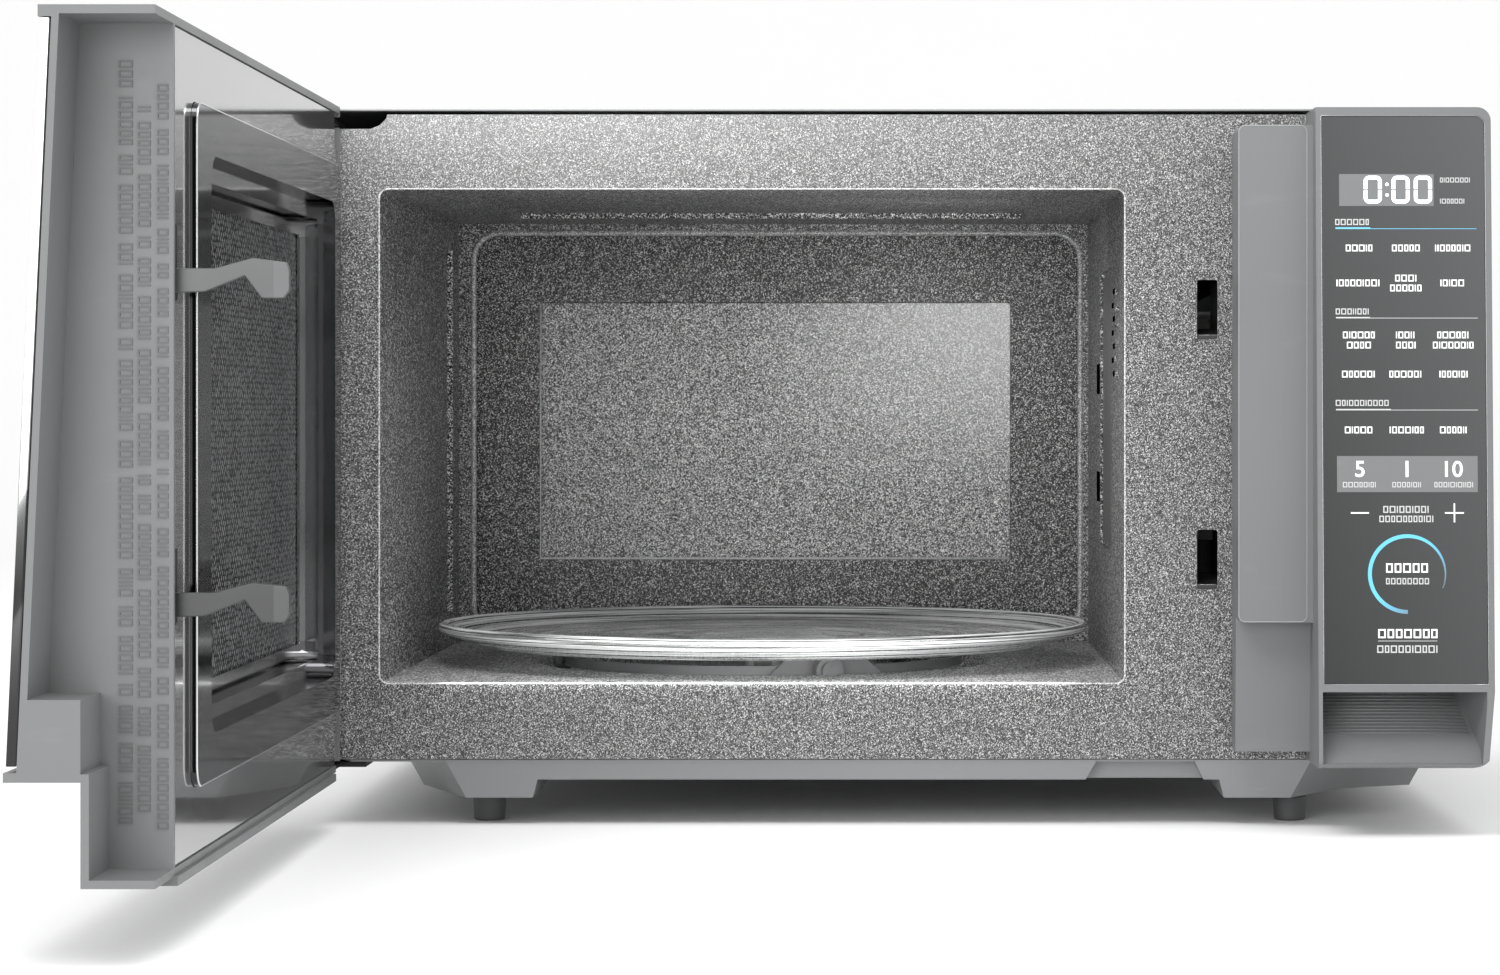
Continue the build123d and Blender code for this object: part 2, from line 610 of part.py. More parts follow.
def make_motor_shaft():
    """Output shaft of the turntable motor, with a flat for the coupler."""
    shaft = rod_z(TABLE_X, TABLE_Y, 46, 68, SHAFT_R)
    flat = block(TABLE_X + 2.2, TABLE_X + 5, TABLE_Y - 5, TABLE_Y + 5, 56, 70)
    return shaft - flat


def make_turntable_coupler():
    """Three-armed driver on the motor shaft."""
    hub = rod_z(TABLE_X, TABLE_Y, 56.5, 71.0, 9.0)
    for index in range(3):
        arm = Pos(15, 0, 67.5) * Box(22, 8, 7)
        hub += Pos(TABLE_X, TABLE_Y, 0) * Rot(0, 0, 30 + index * 120) * arm
    bore = rod_z(TABLE_X, TABLE_Y, 50, 68, SHAFT_R)
    flat = block(TABLE_X + 2.2, TABLE_X + 5, TABLE_Y - 5, TABLE_Y + 5, 50, 68)
    return hub - (bore - flat)


def make_glass_plate():
    """Turntable plate: flat floor, low ridges, a flared rim and three drive lugs."""
    top = PLATE_UNDER + 4.2
    profile = [(0, PLATE_UNDER), (136, PLATE_UNDER), (147, 75.4), (156, 78.6), (PLATE_RADIUS, 79.8),
               (PLATE_RADIUS, 82.4), (156, 83.2), (153, 82.9), (151.5, 81.2), (145, 79.2), (134, top)]
    for ridge in (122, 98, 64):
        for offset, rise in ((1.6, 0), (0.8, 0.7), (-0.8, 0.7), (-1.6, 0)):
            profile.append((ridge + offset, top + rise))
    profile.append((0, top))
    section = Plane.XZ * make_face(Polyline(*profile, close=True))
    plate = Pos(TABLE_X, TABLE_Y, 0) * revolve(section, Axis.Z)
    for index in range(3):
        lug = Pos(19, 0, PLATE_UNDER - 1.6) * Box(8, 9, 4.0)
        plate += Pos(TABLE_X, TABLE_Y, 0) * Rot(0, 0, 90 + index * 120) * lug
    return plate


def radial(angle, shape):
    """Carry a shape drawn on local +X to its place on the turntable's circle."""
    return Pos(TABLE_X, TABLE_Y, 0) * Rot(0, 0, angle) * shape


def make_roller_ring():
    """Thin ring with three flags, each holding a roller's axle."""
    band_in = ROLLER_TRACK - 6.2
    band_out = band_in + 2.4
    ring = rod_z(TABLE_X, TABLE_Y, 62.6, 67.0, band_out) - rod_z(TABLE_X, TABLE_Y, 60, 70, band_in)
    for angle in ROLLER_ANGLES:
        flag_points = [(-28, 62.6), (28, 62.6), (20, 69.4), (-20, 69.4)]
        face = Plane.YZ * make_face(Polyline(*flag_points, close=True))
        flag = Pos(band_in, 0, 0) * extrude(face, amount=2.4, dir=(1, 0, 0))
        axle = rod_x(band_in + 1, ROLLER_TRACK + 4.6, 0, ROLLER_Z, 2.0)
        clip = rod_x(ROLLER_TRACK + 3.4, ROLLER_TRACK + 4.6, 0, ROLLER_Z, 4.5)
        clip -= block(ROLLER_TRACK + 4.0, ROLLER_TRACK + 6, -0.6, 0.6, ROLLER_Z - 3, ROLLER_Z + 3)
        ring += radial(angle, flag + axle + clip)
    return ring


def make_roller(angle):
    """Wheel that carries the plate, free on the ring's axle."""
    wheel = rod_x(ROLLER_TRACK - 3, ROLLER_TRACK + 3, 0, ROLLER_Z, ROLLER_R)
    wheel = fillet(wheel.edges().filter_by(GeomType.CIRCLE), 0.8)
    bore = rod_x(ROLLER_TRACK - 6, ROLLER_TRACK + 6, 0, ROLLER_Z, 2.0 + RUNNING_GAP)
    return radial(angle, wheel - bore)


# ---- latch bracket and switches ----
def make_latch_bracket():
    """Moulded catch block behind the plate, with a ledge under each hook."""
    wall = block(148.4, 151, FRONT + 1.2, FRONT + 70, 96, 262)
    lugs = block(134, 148.4, FRONT + 1.2, FRONT + 4, 248, 262)
    lugs += block(134, 148.4, FRONT + 1.2, FRONT + 4, 96, 104)
    for drop in (0, HOOK_PITCH):
        ledge_points = [(FRONT + 1.2, 218.6 - drop), (FRONT + 6, 218.6 - drop), (FRONT + 22, 221.8 - drop),
                        (FRONT + 40, 221.8 - drop), (FRONT + 40, 214 - drop), (FRONT + 1.2, 208 - drop)]
        lugs += along_x(ledge_points, 134, 148.4)
    return wall + lugs


def make_microswitches():
    """Three snap switches on the catch block, each with blade terminals and a plunger."""
    switches = []
    for z in (126, 166, 196):
        body = block(135, 147.8, FRONT + 48, FRONT + 68, z, z + 16)
        body += block(139, 143, FRONT + 46, FRONT + 48, z + 4, z + 7)
        for offset in (3, 8, 13):
            body += block(141, 141.8, FRONT + 68, FRONT + 75, z + offset, z + offset + 2.5)
        switches.append(body)
    return switches


# ---- hinges ----
def hinge_leaf(z0, z1, reach):
    """Flat hinge leaf with a rounded nose and the pin's hole."""
    nose = rod_z(HINGE_X, HINGE_Y, z0, z1, 6.3)
    arm = block(HINGE_X - 6.3, HINGE_X + 6.3, HINGE_Y, FRONT + reach, z0, z1)
    hole = rod_z(HINGE_X, HINGE_Y, z0 - 5, z1 + 5, HINGE_PIN_R + RUNNING_GAP)
    return nose + arm - hole


def make_upper_hinge():
    """Upper leaf, folded down behind the front plate."""
    leaf = hinge_leaf(311.6, 314.0, 26)
    web = block(HINGE_X - 5, HINGE_X + 22, FRONT + 2, FRONT + 4.4, 262, 309.6)
    gusset = block(HINGE_X + 4, HINGE_X + 6.3, FRONT + 2, FRONT + 26, 300, 312)
    return leaf + web + gusset


def make_lower_hinge():
    """Lower leaf, bolted under the base flange."""
    leaf = hinge_leaf(25.8, 28.2, 30)
    wing = block(HINGE_X + 6.3, HINGE_X + 18, FRONT + 6, FRONT + 30, 25.8, 28.2)
    return leaf + wing


def make_hinge_pin(z0, z1):
    """Plain hinge pin, pressed into the door."""
    pin = rod_z(HINGE_X, HINGE_Y, z0, z1, HINGE_PIN_R)
    return opened(pin)


# ---- door ----
def door_frame_envelope():
    """Solid outside shape of the door frame, behind the glass."""
    behind = GLASS_THICK + 0.2
    profile = [
        (DOOR_RIM, DOOR_BOTTOM), (DOOR_LOW_THICK, DOOR_BOTTOM), (DOOR_LOW_THICK, PULL_BOTTOM),
        (GLASS_OUT_LOW + 0.8, PULL_BOTTOM), (GLASS_OUT_LOW + 0.8, 64.2), (glass_out(64.2) - behind, 64.2),
        (glass_out(315.6) - behind, 315.6), (GLASS_OUT_HIGH + 0.8, 315.6), (GLASS_OUT_HIGH + 0.8, DOOR_TOP),
        (DOOR_RIM, DOOR_TOP),
    ]
    return along_x(ahead(profile), DOOR_LEFT, DOOR_RIGHT)


def wall_back(z):
    """Distance to the rear face of the wall that backs the glass."""
    return glass_out(z) - GLASS_THICK - 0.2 - 2.5


def door_frame_hollows():
    """Space for the seal plate, the finger pull, and the channel at the free end."""
    top = DOOR_TOP - 3.0
    low = DOOR_BOTTOM + DOOR_WALL
    inside = [(-5, low), (24.5, low), (24.5, PULL_TOP), (wall_back(PULL_TOP), PULL_TOP),
              (wall_back(top), top), (-5, top)]
    shelf = PULL_BOTTOM + DOOR_WALL
    channel = [(-5, low), (24.2, low), (24.2, shelf), (DOOR_LOW_THICK, shelf),
               (DOOR_LOW_THICK, PULL_TOP), (wall_back(PULL_TOP), PULL_TOP), (wall_back(top), top), (-5, top)]
    pull_top = PULL_TOP - 2.5
    pull = [(29.5, 50), (29.5, pull_top), (wall_back(pull_top), pull_top), (wall_back(50), 50)]
    hollow = along_x(ahead(inside), DOOR_LEFT + DOOR_WALL, DOOR_BODY_RIGHT - DOOR_WALL)
    hollow += along_x(ahead(channel), DOOR_BODY_RIGHT, DOOR_RIGHT + 5)
    hollow += along_x(ahead(pull), DOOR_LEFT + 4, DOOR_RIGHT - 2.8)
    hollow += slab(-222, 77, 98, 268, -70, -30, 10.0)
    return hollow


def hinge_notches():
    """Room for the hinge leaves through the door's whole swing."""
    upper = block(-275, HINGE_X + 8, HINGE_Y - 8, FRONT + 5, 310.4, 315.2)
    lower = block(-275, HINGE_X + 8, HINGE_Y - 8, FRONT + 5, 10, 29.6)
    corner = block(-275, HINGE_X, HINGE_Y, FRONT + 5, 0, 400)
    swing = rod_z(HINGE_X, HINGE_Y, -10, 410, 9.3)
    return upper + lower + (corner - swing)


def make_door_frame():
    """Moulded door frame: hollow body, finger pull along the lower edge, open channel at its free end."""
    frame = door_frame_envelope() - door_frame_hollows()
    y0 = HINGE_Y - 6
    y1 = HINGE_Y + 6
    x0 = DOOR_LEFT + 1
    frame += block(x0, HINGE_X + 6, y0, y1, 301, 310.4)
    frame += block(x0, HINGE_X + 6, y0, y1, 29.6, 41)
    frame += block(x0, HINGE_X + 6, y0, y1, 315.2, 317)
    seat = block(136, DOOR_BODY_RIGHT - 1, FRONT - 14, FRONT - 4.9, SPRING_TOP, SPRING_TOP + 3)
    frame += seat
    for z in (150, 200):
        frame += block(HOOK_RIGHT + 0.4, DOOR_BODY_RIGHT - 1, FRONT - 14, FRONT - 5.4, z, z + 8)
    lip = block(-234, DOOR_BODY_RIGHT, FRONT - 8, FRONT - 0.7, DOOR_BOTTOM - 3, DOOR_BOTTOM + 0.2)
    frame += lip
    frame -= hinge_notches()
    frame -= rod_z(HINGE_X, HINGE_Y, 28, 41, HINGE_PIN_R)
    frame -= rod_z(HINGE_X, HINGE_Y, 301, 318, HINGE_PIN_R)
    for x in DOOR_SCREW_X:
        for z in DOOR_SCREW_Z:
            frame += rod_y(x, FRONT - wall_back(z) - 1, FRONT - CHOKE_OUT - 1.3, z, 3.6)
            frame -= rod_y(x, FRONT - CHOKE_OUT - 12, FRONT - CHOKE_OUT, z, 1.9)
    return opened(frame)


def make_door_screws():
    """Six screws that hold the seal plate's flange to the frame's posts."""
    screws = []
    for x in DOOR_SCREW_X:
        for z in DOOR_SCREW_Z:
            screws.append(opened(screw(x, FRONT - CHOKE_OUT, z, Rot(-90, 0, 0), head_r=3.2)))
    return screws


def make_door_glass():
    """Outer mirror glass, leaning back towards its top."""
    low = glass_out(GLASS_BOTTOM)
    high = glass_out(GLASS_TOP)
    profile = [(low, GLASS_BOTTOM), (high, GLASS_TOP),
               (high - GLASS_THICK, GLASS_TOP), (low - GLASS_THICK, GLASS_BOTTOM)]
    return opened(along_x(ahead(profile), DOOR_LEFT, DOOR_RIGHT))


def make_door_seal_plate():
    """Drawn steel plate: raised sealing land, stepped window recess and choke skirt."""
    box = (SEAL_LEFT, SEAL_RIGHT, SEAL_BOTTOM, SEAL_TOP)
    window = (WINDOW_LEFT, WINDOW_RIGHT, WINDOW_BOTTOM, WINDOW_TOP)
    grow = CHOKE_GROW
    land = slab(*box, -SEAL_GAP - 1.2, -SEAL_GAP, 8.0) - slab(*window, -5, 5, 10.0)
    skirt = ring_slab(*box, -CHOKE_OUT - 1.2, -SEAL_GAP, 8.0, 1.2)
    flange_rear = -CHOKE_OUT - 1.2
    choke = slab(box[0] - grow, box[1] + grow, box[2] - grow, box[3] + grow, flange_rear, -CHOKE_OUT, 12.0)
    choke -= slab(box[0] + 1, box[1] - 1, box[2] + 1, box[3] - 1, -30, -10, 7.0)
    wall = slab(window[0] - 1.2, window[1] + 1.2, window[2] - 1.2, window[3] + 1.2, -8.0, -SEAL_GAP, 11.2)
    wall -= slab(*window, -30, 5, 10.0)
    plate = land + skirt + choke + wall
    steps = ((0.0, 8.0, -8.0), (7.0, 8.0, -15.0))
    for inset, width, depth in steps:
        shift = inset - 1.2
        edge = (window[0] + shift, window[1] - shift, window[2] + shift, window[3] - shift)
        plate += ring_slab(*edge, depth, depth + 1.2, 10.0, width + 1.2)
        if inset:
            plate += ring_slab(*edge, depth, -6.8, 10.0, 1.2)
    for x in DOOR_SCREW_X:
        for z in DOOR_SCREW_Z:
            plate -= rod_y(x, FRONT - CHOKE_OUT - 5, FRONT - CHOKE_OUT + 5, z, 1.9)
    return opened(plate)


def window_sheet(w0, w1):
    """Flat sheet against the back of the window recess."""
    inset = 10.0
    low = WINDOW_BOTTOM + inset
    high = WINDOW_TOP - inset
    return slab(WINDOW_LEFT + inset, WINDOW_RIGHT - inset, low, high, w0, w1, 8.0)


def make_choke_cover():
    """Moulded cover between the sealing land and the door's edge, with two latch slits."""
    x0 = DOOR_LEFT + DOOR_WALL + 0.3
    x1 = DOOR_BODY_RIGHT - DOOR_WALL - 0.3
    cover = slab(x0, x1, DOOR_BOTTOM + DOOR_WALL + 0.3, DOOR_TOP - 3.3, -4.6, -3.0, 2.0)
    gap = 0.4
    cover -= slab(SEAL_LEFT - gap, SEAL_RIGHT + gap, SEAL_BOTTOM - gap, SEAL_TOP + gap, -10, 5, 8.4)
    for drop in (0, HOOK_PITCH):
        cover -= slab(HOOK_LEFT - 0.8, HOOK_RIGHT + 0.8, 222.4 - drop, 248.6 - drop, -10, 5, 0.6)
    cover -= hinge_notches()
    cover -= block(-275, HINGE_X + 6.6, HINGE_Y - 6.6, FRONT + 5, 300.4, 330)
    cover -= block(-275, HINGE_X + 6.6, HINGE_Y - 6.6, FRONT + 5, 10, 41.6)
    return opened(cover)


def make_latch_key():
    """Sliding latch bar with two hooks."""
    hook = [(-6, 233.5), (11, 233.5), (24, 237), (35.5, 235.5), (36.6, 233), (36.6, 226), (34.5, 223.2),
            (27, 223.2), (21.2, 230.9), (7.5, 225.4), (-6, 225)]
    key = block(HOOK_LEFT, HOOK_RIGHT, FRONT - 13, FRONT - 5.4, 104, SPRING_BOTTOM - 0.2)
    for drop in (0, HOOK_PITCH):
        points = [(FRONT - SEAL_GAP + reach, z - drop) for reach, z in hook]
        key += along_x(points, HOOK_LEFT, HOOK_RIGHT)
    return opened(key)


def make_latch_spring():
    """Coil spring that pushes the latch bar down."""
    wire = 0.5
    coil_r = 2.8
    height = SPRING_TOP - SPRING_BOTTOM - 2 * wire - 0.2
    path = Helix(pitch=height / 7, height=height, radius=coil_r)
    section = Plane(path @ 0, z_dir=path % 0) * Circle(wire)
    coil = sweep(section, path=path, is_frenet=True)
    centre_x = (HOOK_LEFT + HOOK_RIGHT) / 2
    return opened(Pos(centre_x, FRONT - 9.2, SPRING_BOTTOM + wire + 0.1) * coil)


# ---- control panel ----
def round_top_right(sheet, right, radius):
    """Round the upper right corner of an upright sheet whose right side lies at X = right."""
    side = sheet.edges().filter_by(lambda e: abs(e.center().X - right) < 0.01)
    corner = [e for e in side.sort_by(Axis.Z)[-3:] if abs((e @ 0).Z - (e @ 1).Z) < 1.0]
    return fillet(corner, radius)


def make_panel_housing():
    """One moulding: control panel body with its scoop, and the raised strip that the door closes over."""
    body_profile = [
        (0.3, PANEL_BOTTOM), (panel_out(PANEL_BOTTOM) - 3, PANEL_BOTTOM),
        (panel_out(SCOOP_BOTTOM), SCOOP_BOTTOM), (panel_out(PANEL_TOP), PANEL_TOP), (0.3, PANEL_TOP),
    ]
    body = along_x(ahead(body_profile), PANEL_LEFT, PANEL_RIGHT)
    long_edges = body.edges().filter_by(Axis.X).sort_by(Axis.Y)
    body = fillet(long_edges[0:1], 3.0)
    for end, radius in ((-1, 6.0), (0, 10.0)):
        side_edges = body.edges().filter_by(lambda e: abs(e.center().X - PANEL_RIGHT) < 0.01)
        body = fillet(side_edges.filter_by(Axis.Y).sort_by(Axis.Z)[end], radius)
    inside = [
        (-5, PANEL_BOTTOM + 3), (8, PANEL_BOTTOM + 3), (8, SCOOP_TOP + 3),
        (panel_out(SCOOP_TOP + 3) - 4.5, SCOOP_TOP + 3), (panel_out(PANEL_TOP - 3) - 4.5, PANEL_TOP - 3),
        (-5, PANEL_TOP - 3),
    ]
    body -= along_x(ahead(inside), PANEL_LEFT + PANEL_WALL, PANEL_RIGHT - PANEL_WALL)
    lip_out = panel_out(SCOOP_BOTTOM)
    scoop = [(lip_out + 10, SCOOP_BOTTOM - 2), (lip_out - 4, SCOOP_BOTTOM + 1),
             (SCOOP_BACK, SCOOP_TOP), (lip_out + 10, SCOOP_TOP)]
    cheek_x = PANEL_RIGHT - 3
    cheek_plan = [(cheek_x, FRONT - lip_out), (cheek_x, FRONT), (cheek_x - 9.5, FRONT - SCOOP_BACK)]
    cheek = along_z(cheek_plan, SCOOP_BOTTOM - 5, SCOOP_TOP + 5)
    lean = along_y([(cheek_x, SCOOP_TOP), (cheek_x - 2.8, SCOOP_BOTTOM - 3), (cheek_x + 5, SCOOP_BOTTOM - 3)],
                   FRONT - 80, FRONT + 5)
    body -= along_x(ahead(scoop), PANEL_LEFT + 1.8, cheek_x) - cheek - lean
    body -= along_y([(PANEL_RIGHT, SCOOP_TOP), (PANEL_RIGHT - 3, PANEL_BOTTOM - 1),
                     (PANEL_RIGHT + 5, PANEL_BOTTOM - 1)], FRONT - 80, FRONT + 5)
    sight = [(panel_out(TOUCH_BOTTOM) - 1.6, TOUCH_BOTTOM), (panel_out(TOUCH_BOTTOM) + 5, TOUCH_BOTTOM),
             (panel_out(TOUCH_TOP) + 5, TOUCH_TOP), (panel_out(TOUCH_TOP) - 1.6, TOUCH_TOP)]
    sight_x = PANEL_RIGHT - 2.5
    body -= round_top_right(along_x(ahead(sight), PANEL_LEFT + 2.2, sight_x), sight_x, GLASS_CORNER)
    display = [(60, DISPLAY_Z0 - 1), (60, DISPLAY_Z1 + 1), (20, DISPLAY_Z1 + 1), (20, DISPLAY_Z0 - 1)]
    body -= along_x(ahead(display), DISPLAY_X0 - 1, DISPLAY_X1 + 1)
    strip = block(STRIP_LEFT, PANEL_LEFT + 1, FRONT - STRIP_OUT, FRONT - 0.3, STRIP_STEP, STRIP_TOP)
    left_edges = strip.edges().filter_by(lambda e: e.center().X < STRIP_LEFT + 0.01)
    strip = fillet(left_edges.filter_by(Axis.Y), 3.0)
    low_top = STRIP_STEP + 3
    low_profile = [(0.3, STRIP_BOTTOM), (STRIP_LOW_OUT - 2, STRIP_BOTTOM),
                   (STRIP_LOW_OUT + 2, low_top), (0.3, low_top)]
    low = along_x(ahead(low_profile), STRIP_LEFT, PANEL_LEFT + 1)
    back = FRONT - STRIP_OUT + PANEL_WALL
    strip -= block(STRIP_LEFT + PANEL_WALL, PANEL_LEFT - PANEL_WALL, back, FRONT + 5, low_top, STRIP_TOP - 3)
    return body + strip + low


def make_panel_glass():
    """Smooth touch face let into the panel's front."""
    low = TOUCH_BOTTOM + 0.3
    high = TOUCH_TOP - 0.3
    face = [(panel_out(low) - 1.5, low), (panel_out(low) - 0.3, low),
            (panel_out(high) - 0.3, high), (panel_out(high) - 1.5, high)]
    right = PANEL_RIGHT - 2.8
    return round_top_right(along_x(ahead(face), PANEL_LEFT + 2.5, right), right, GLASS_CORNER)


def make_display_module():
    """Clock display behind the touch face."""
    z0 = DISPLAY_Z0
    z1 = DISPLAY_Z1
    return block(DISPLAY_X0, DISPLAY_X1, FRONT - 37.5, FRONT - 30, z0, z1)


def make_control_board():
    """Touch and control board with its relay, transformer and ribbon socket."""
    board = block(190.5, 256, FRONT - 29.8, FRONT - 28.2, 72, 306)
    board += block(196, 216, FRONT - 28.2, FRONT - 12, 84, 104)
    board += block(224, 246, FRONT - 28.2, FRONT - 8, 84, 116)
    board += block(200, 240, FRONT - 28.2, FRONT - 20, 200, 208)
    return board


def make_case_screws():
    """Screws of the rear panel and of the wrap's rear edge."""
    screws = []
    for x in (-240, -80, 80, 240):
        for z in (42, 308):
            screws.append(screw(x, REAR, z, Rot(-90, 0, 0), shank=0.9))
    return screws


def make_base_screws():
    """Screws that hold the base pan's flange from below."""
    screws = []
    for x in (-246, 247.5):
        for y in (FRONT + 70, FRONT + 190, REAR - 40):
            screws.append(screw(x, y, PAN_TOP - SHEET, Rot(180, 0, 0), shank=0.9))
    return screws


# ---- writing the parts ----
def solids_of(shape):
    """One compound from a shape or a list of shapes."""
    if isinstance(shape, list):
        return Compound(children=shape)
    return shape


def build_nodes():
    """Every sub-part by its node name."""
    nodes = {
        "outer_wrap": make_outer_wrap(),
        "rear_panel": make_rear_panel(),
        "base_pan": make_base_pan(),
        "feet": make_feet(),
        "front_plate": make_front_plate(),
        "cavity_left_wall": make_cavity_left_wall(),
        "cavity_right_wall": make_cavity_right_wall(),
        "cavity_ceiling": make_cavity_ceiling(),
        "cavity_floor": make_cavity_floor(),
        "cavity_back": make_cavity_back(),
        "waveguide_cover": make_waveguide_cover(),
        "waveguide_duct": make_waveguide_duct(),
        "magnetron_yoke": make_magnetron_yoke(),
        "magnetron_fins": make_magnetron_fins(),
        "magnetron_antenna": make_magnetron_antenna(),
        "magnetron_filter_box": make_magnetron_filter_box(),
        "magnetron_screws": make_magnetron_screws(),
        "transformer_core": make_transformer_core(),
        "transformer_windings": make_transformer_windings(),
        "hv_capacitor": make_hv_capacitor(),
        "capacitor_clamp": make_capacitor_clamp(),
        "hv_diode": make_hv_diode(),
        "fan_shroud": make_fan_shroud(),
        "fan_motor": make_fan_motor(),
        "fan_blades": make_fan_blades(),
        "air_duct": make_air_duct(),
        "cavity_lamp": make_cavity_lamp(),
        "lamp_socket": make_lamp_socket(),
        "filter_board": make_filter_board(),
        "thermal_cutout": make_thermal_cutout(),
        "turntable_motor": make_turntable_motor(),
        "motor_shaft": make_motor_shaft(),
        "turntable_coupler": make_turntable_coupler(),
        "glass_plate": make_glass_plate(),
        "roller_ring": make_roller_ring(),
        "latch_bracket": make_latch_bracket(),
        "microswitches": make_microswitches(),
        "upper_hinge": make_upper_hinge(),
        "lower_hinge": make_lower_hinge(),
        "hinge_pin_upper": make_hinge_pin(301, 318),
        "hinge_pin_lower": make_hinge_pin(25.9, 41),
        "panel_housing": make_panel_housing(),
        "panel_glass": make_panel_glass(),
        "display_module": make_display_module(),
        "control_board": make_control_board(),
        "cord_gland": make_cord_gland(),
        "case_screws": make_case_screws(),
        "base_screws": make_base_screws(),
        "door_frame": make_door_frame(),
        "door_glass": make_door_glass(),
        "door_seal_plate": make_door_seal_plate(),
        "door_screen": opened(window_sheet(-15.9, -15.4)),
        "door_inner_film": opened(window_sheet(-15.35, -15.05)),
        "choke_cover": make_choke_cover(),
        "latch_key": make_latch_key(),
        "latch_spring": make_latch_spring(),
        "door_screws": make_door_screws(),
    }
    return nodes


def main():
    """Write one STEP file for each sub-part."""
    os.makedirs("parts", exist_ok=True)
    nodes = build_nodes()
    for index, angle in enumerate(ROLLER_ANGLES):
        nodes["roller_" + str(index + 1)] = make_roller(angle)
    for name, shape in nodes.items():
        export_step(solids_of(shape), "parts/" + name + ".step")


main()
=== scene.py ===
"""Looks of a countertop microwave oven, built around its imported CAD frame.

Metres, in the frame's axes: +X to the right, +Y to the rear, +Z up.
"""
import json
import math
import random

import bmesh
import bpy
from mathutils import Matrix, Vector


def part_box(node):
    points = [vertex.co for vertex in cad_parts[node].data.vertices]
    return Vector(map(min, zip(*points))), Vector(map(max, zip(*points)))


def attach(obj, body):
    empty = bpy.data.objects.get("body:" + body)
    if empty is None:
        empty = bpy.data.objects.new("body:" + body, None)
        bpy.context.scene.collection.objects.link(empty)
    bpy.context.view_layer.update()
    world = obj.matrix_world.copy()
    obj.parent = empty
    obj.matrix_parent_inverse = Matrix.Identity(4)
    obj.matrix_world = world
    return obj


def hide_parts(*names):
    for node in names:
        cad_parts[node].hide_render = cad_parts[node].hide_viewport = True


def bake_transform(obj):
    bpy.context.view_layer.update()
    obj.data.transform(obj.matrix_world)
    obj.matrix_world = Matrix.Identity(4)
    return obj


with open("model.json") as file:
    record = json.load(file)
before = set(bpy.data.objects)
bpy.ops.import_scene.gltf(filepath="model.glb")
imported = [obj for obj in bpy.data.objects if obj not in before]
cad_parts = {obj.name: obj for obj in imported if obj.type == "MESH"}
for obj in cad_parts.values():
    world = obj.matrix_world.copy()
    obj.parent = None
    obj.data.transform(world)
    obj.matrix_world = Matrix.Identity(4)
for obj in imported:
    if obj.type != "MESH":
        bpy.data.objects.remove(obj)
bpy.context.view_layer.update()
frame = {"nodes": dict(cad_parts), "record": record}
NODES = frame["nodes"]
MM = 0.001
SCENE = bpy.context.scene

LAND_END = -564.6 * MM      # free end of the door's sealing land, in Y
DOOR_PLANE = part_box("door_seal_plate")[1].x + 0.5 * MM      # side of the open door that meets the front, in X
HINGE_SUM = 451.7           # what turns the closed door's x into the open door's distance to the front
GLASS_BOTTOM, GLASS_TOP = 66.3, 315.3           # mirror glass, heights of its ends
GLASS_OUT_BOTTOM, GLASS_OUT_TOP = 52.0, 40.4    # how far its outer face stands off the door plane at them
GLASS_THICK = 3.5
GLASS_SLOPE = (GLASS_OUT_TOP - GLASS_OUT_BOTTOM) / (GLASS_TOP - GLASS_BOTTOM)
RING_X, RING_Z = 224.1, 114.3                   # middle of the ring round the start key


# ---- camera, lights and floor ----
def make_camera():
    """Long lens at the height of the cavity, square on to the oven's front."""
    data = bpy.data.cameras.new("camera")
    data.lens = 94.68
    data.sensor_width = 36.0
    data.shift_x = -0.093
    data.shift_y = -0.049
    camera = bpy.data.objects.new("camera", data)
    camera.location = (0.0, -1.946, 0.1835)
    camera.rotation_euler = (math.radians(90), 0.0, 0.0)
    SCENE.collection.objects.link(camera)
    SCENE.camera = camera


def soft_light(name, place, target, width, height, power):
    """White softbox at a place, facing a target point."""
    data = bpy.data.lights.new(name, "AREA")
    data.shape = "RECTANGLE"
    data.size = width
    data.size_y = height
    data.energy = power
    light = bpy.data.objects.new(name, data)
    light.location = place
    light.rotation_euler = (Vector(target) - Vector(place)).to_track_quat("-Z", "Y").to_euler()
    SCENE.collection.objects.link(light)


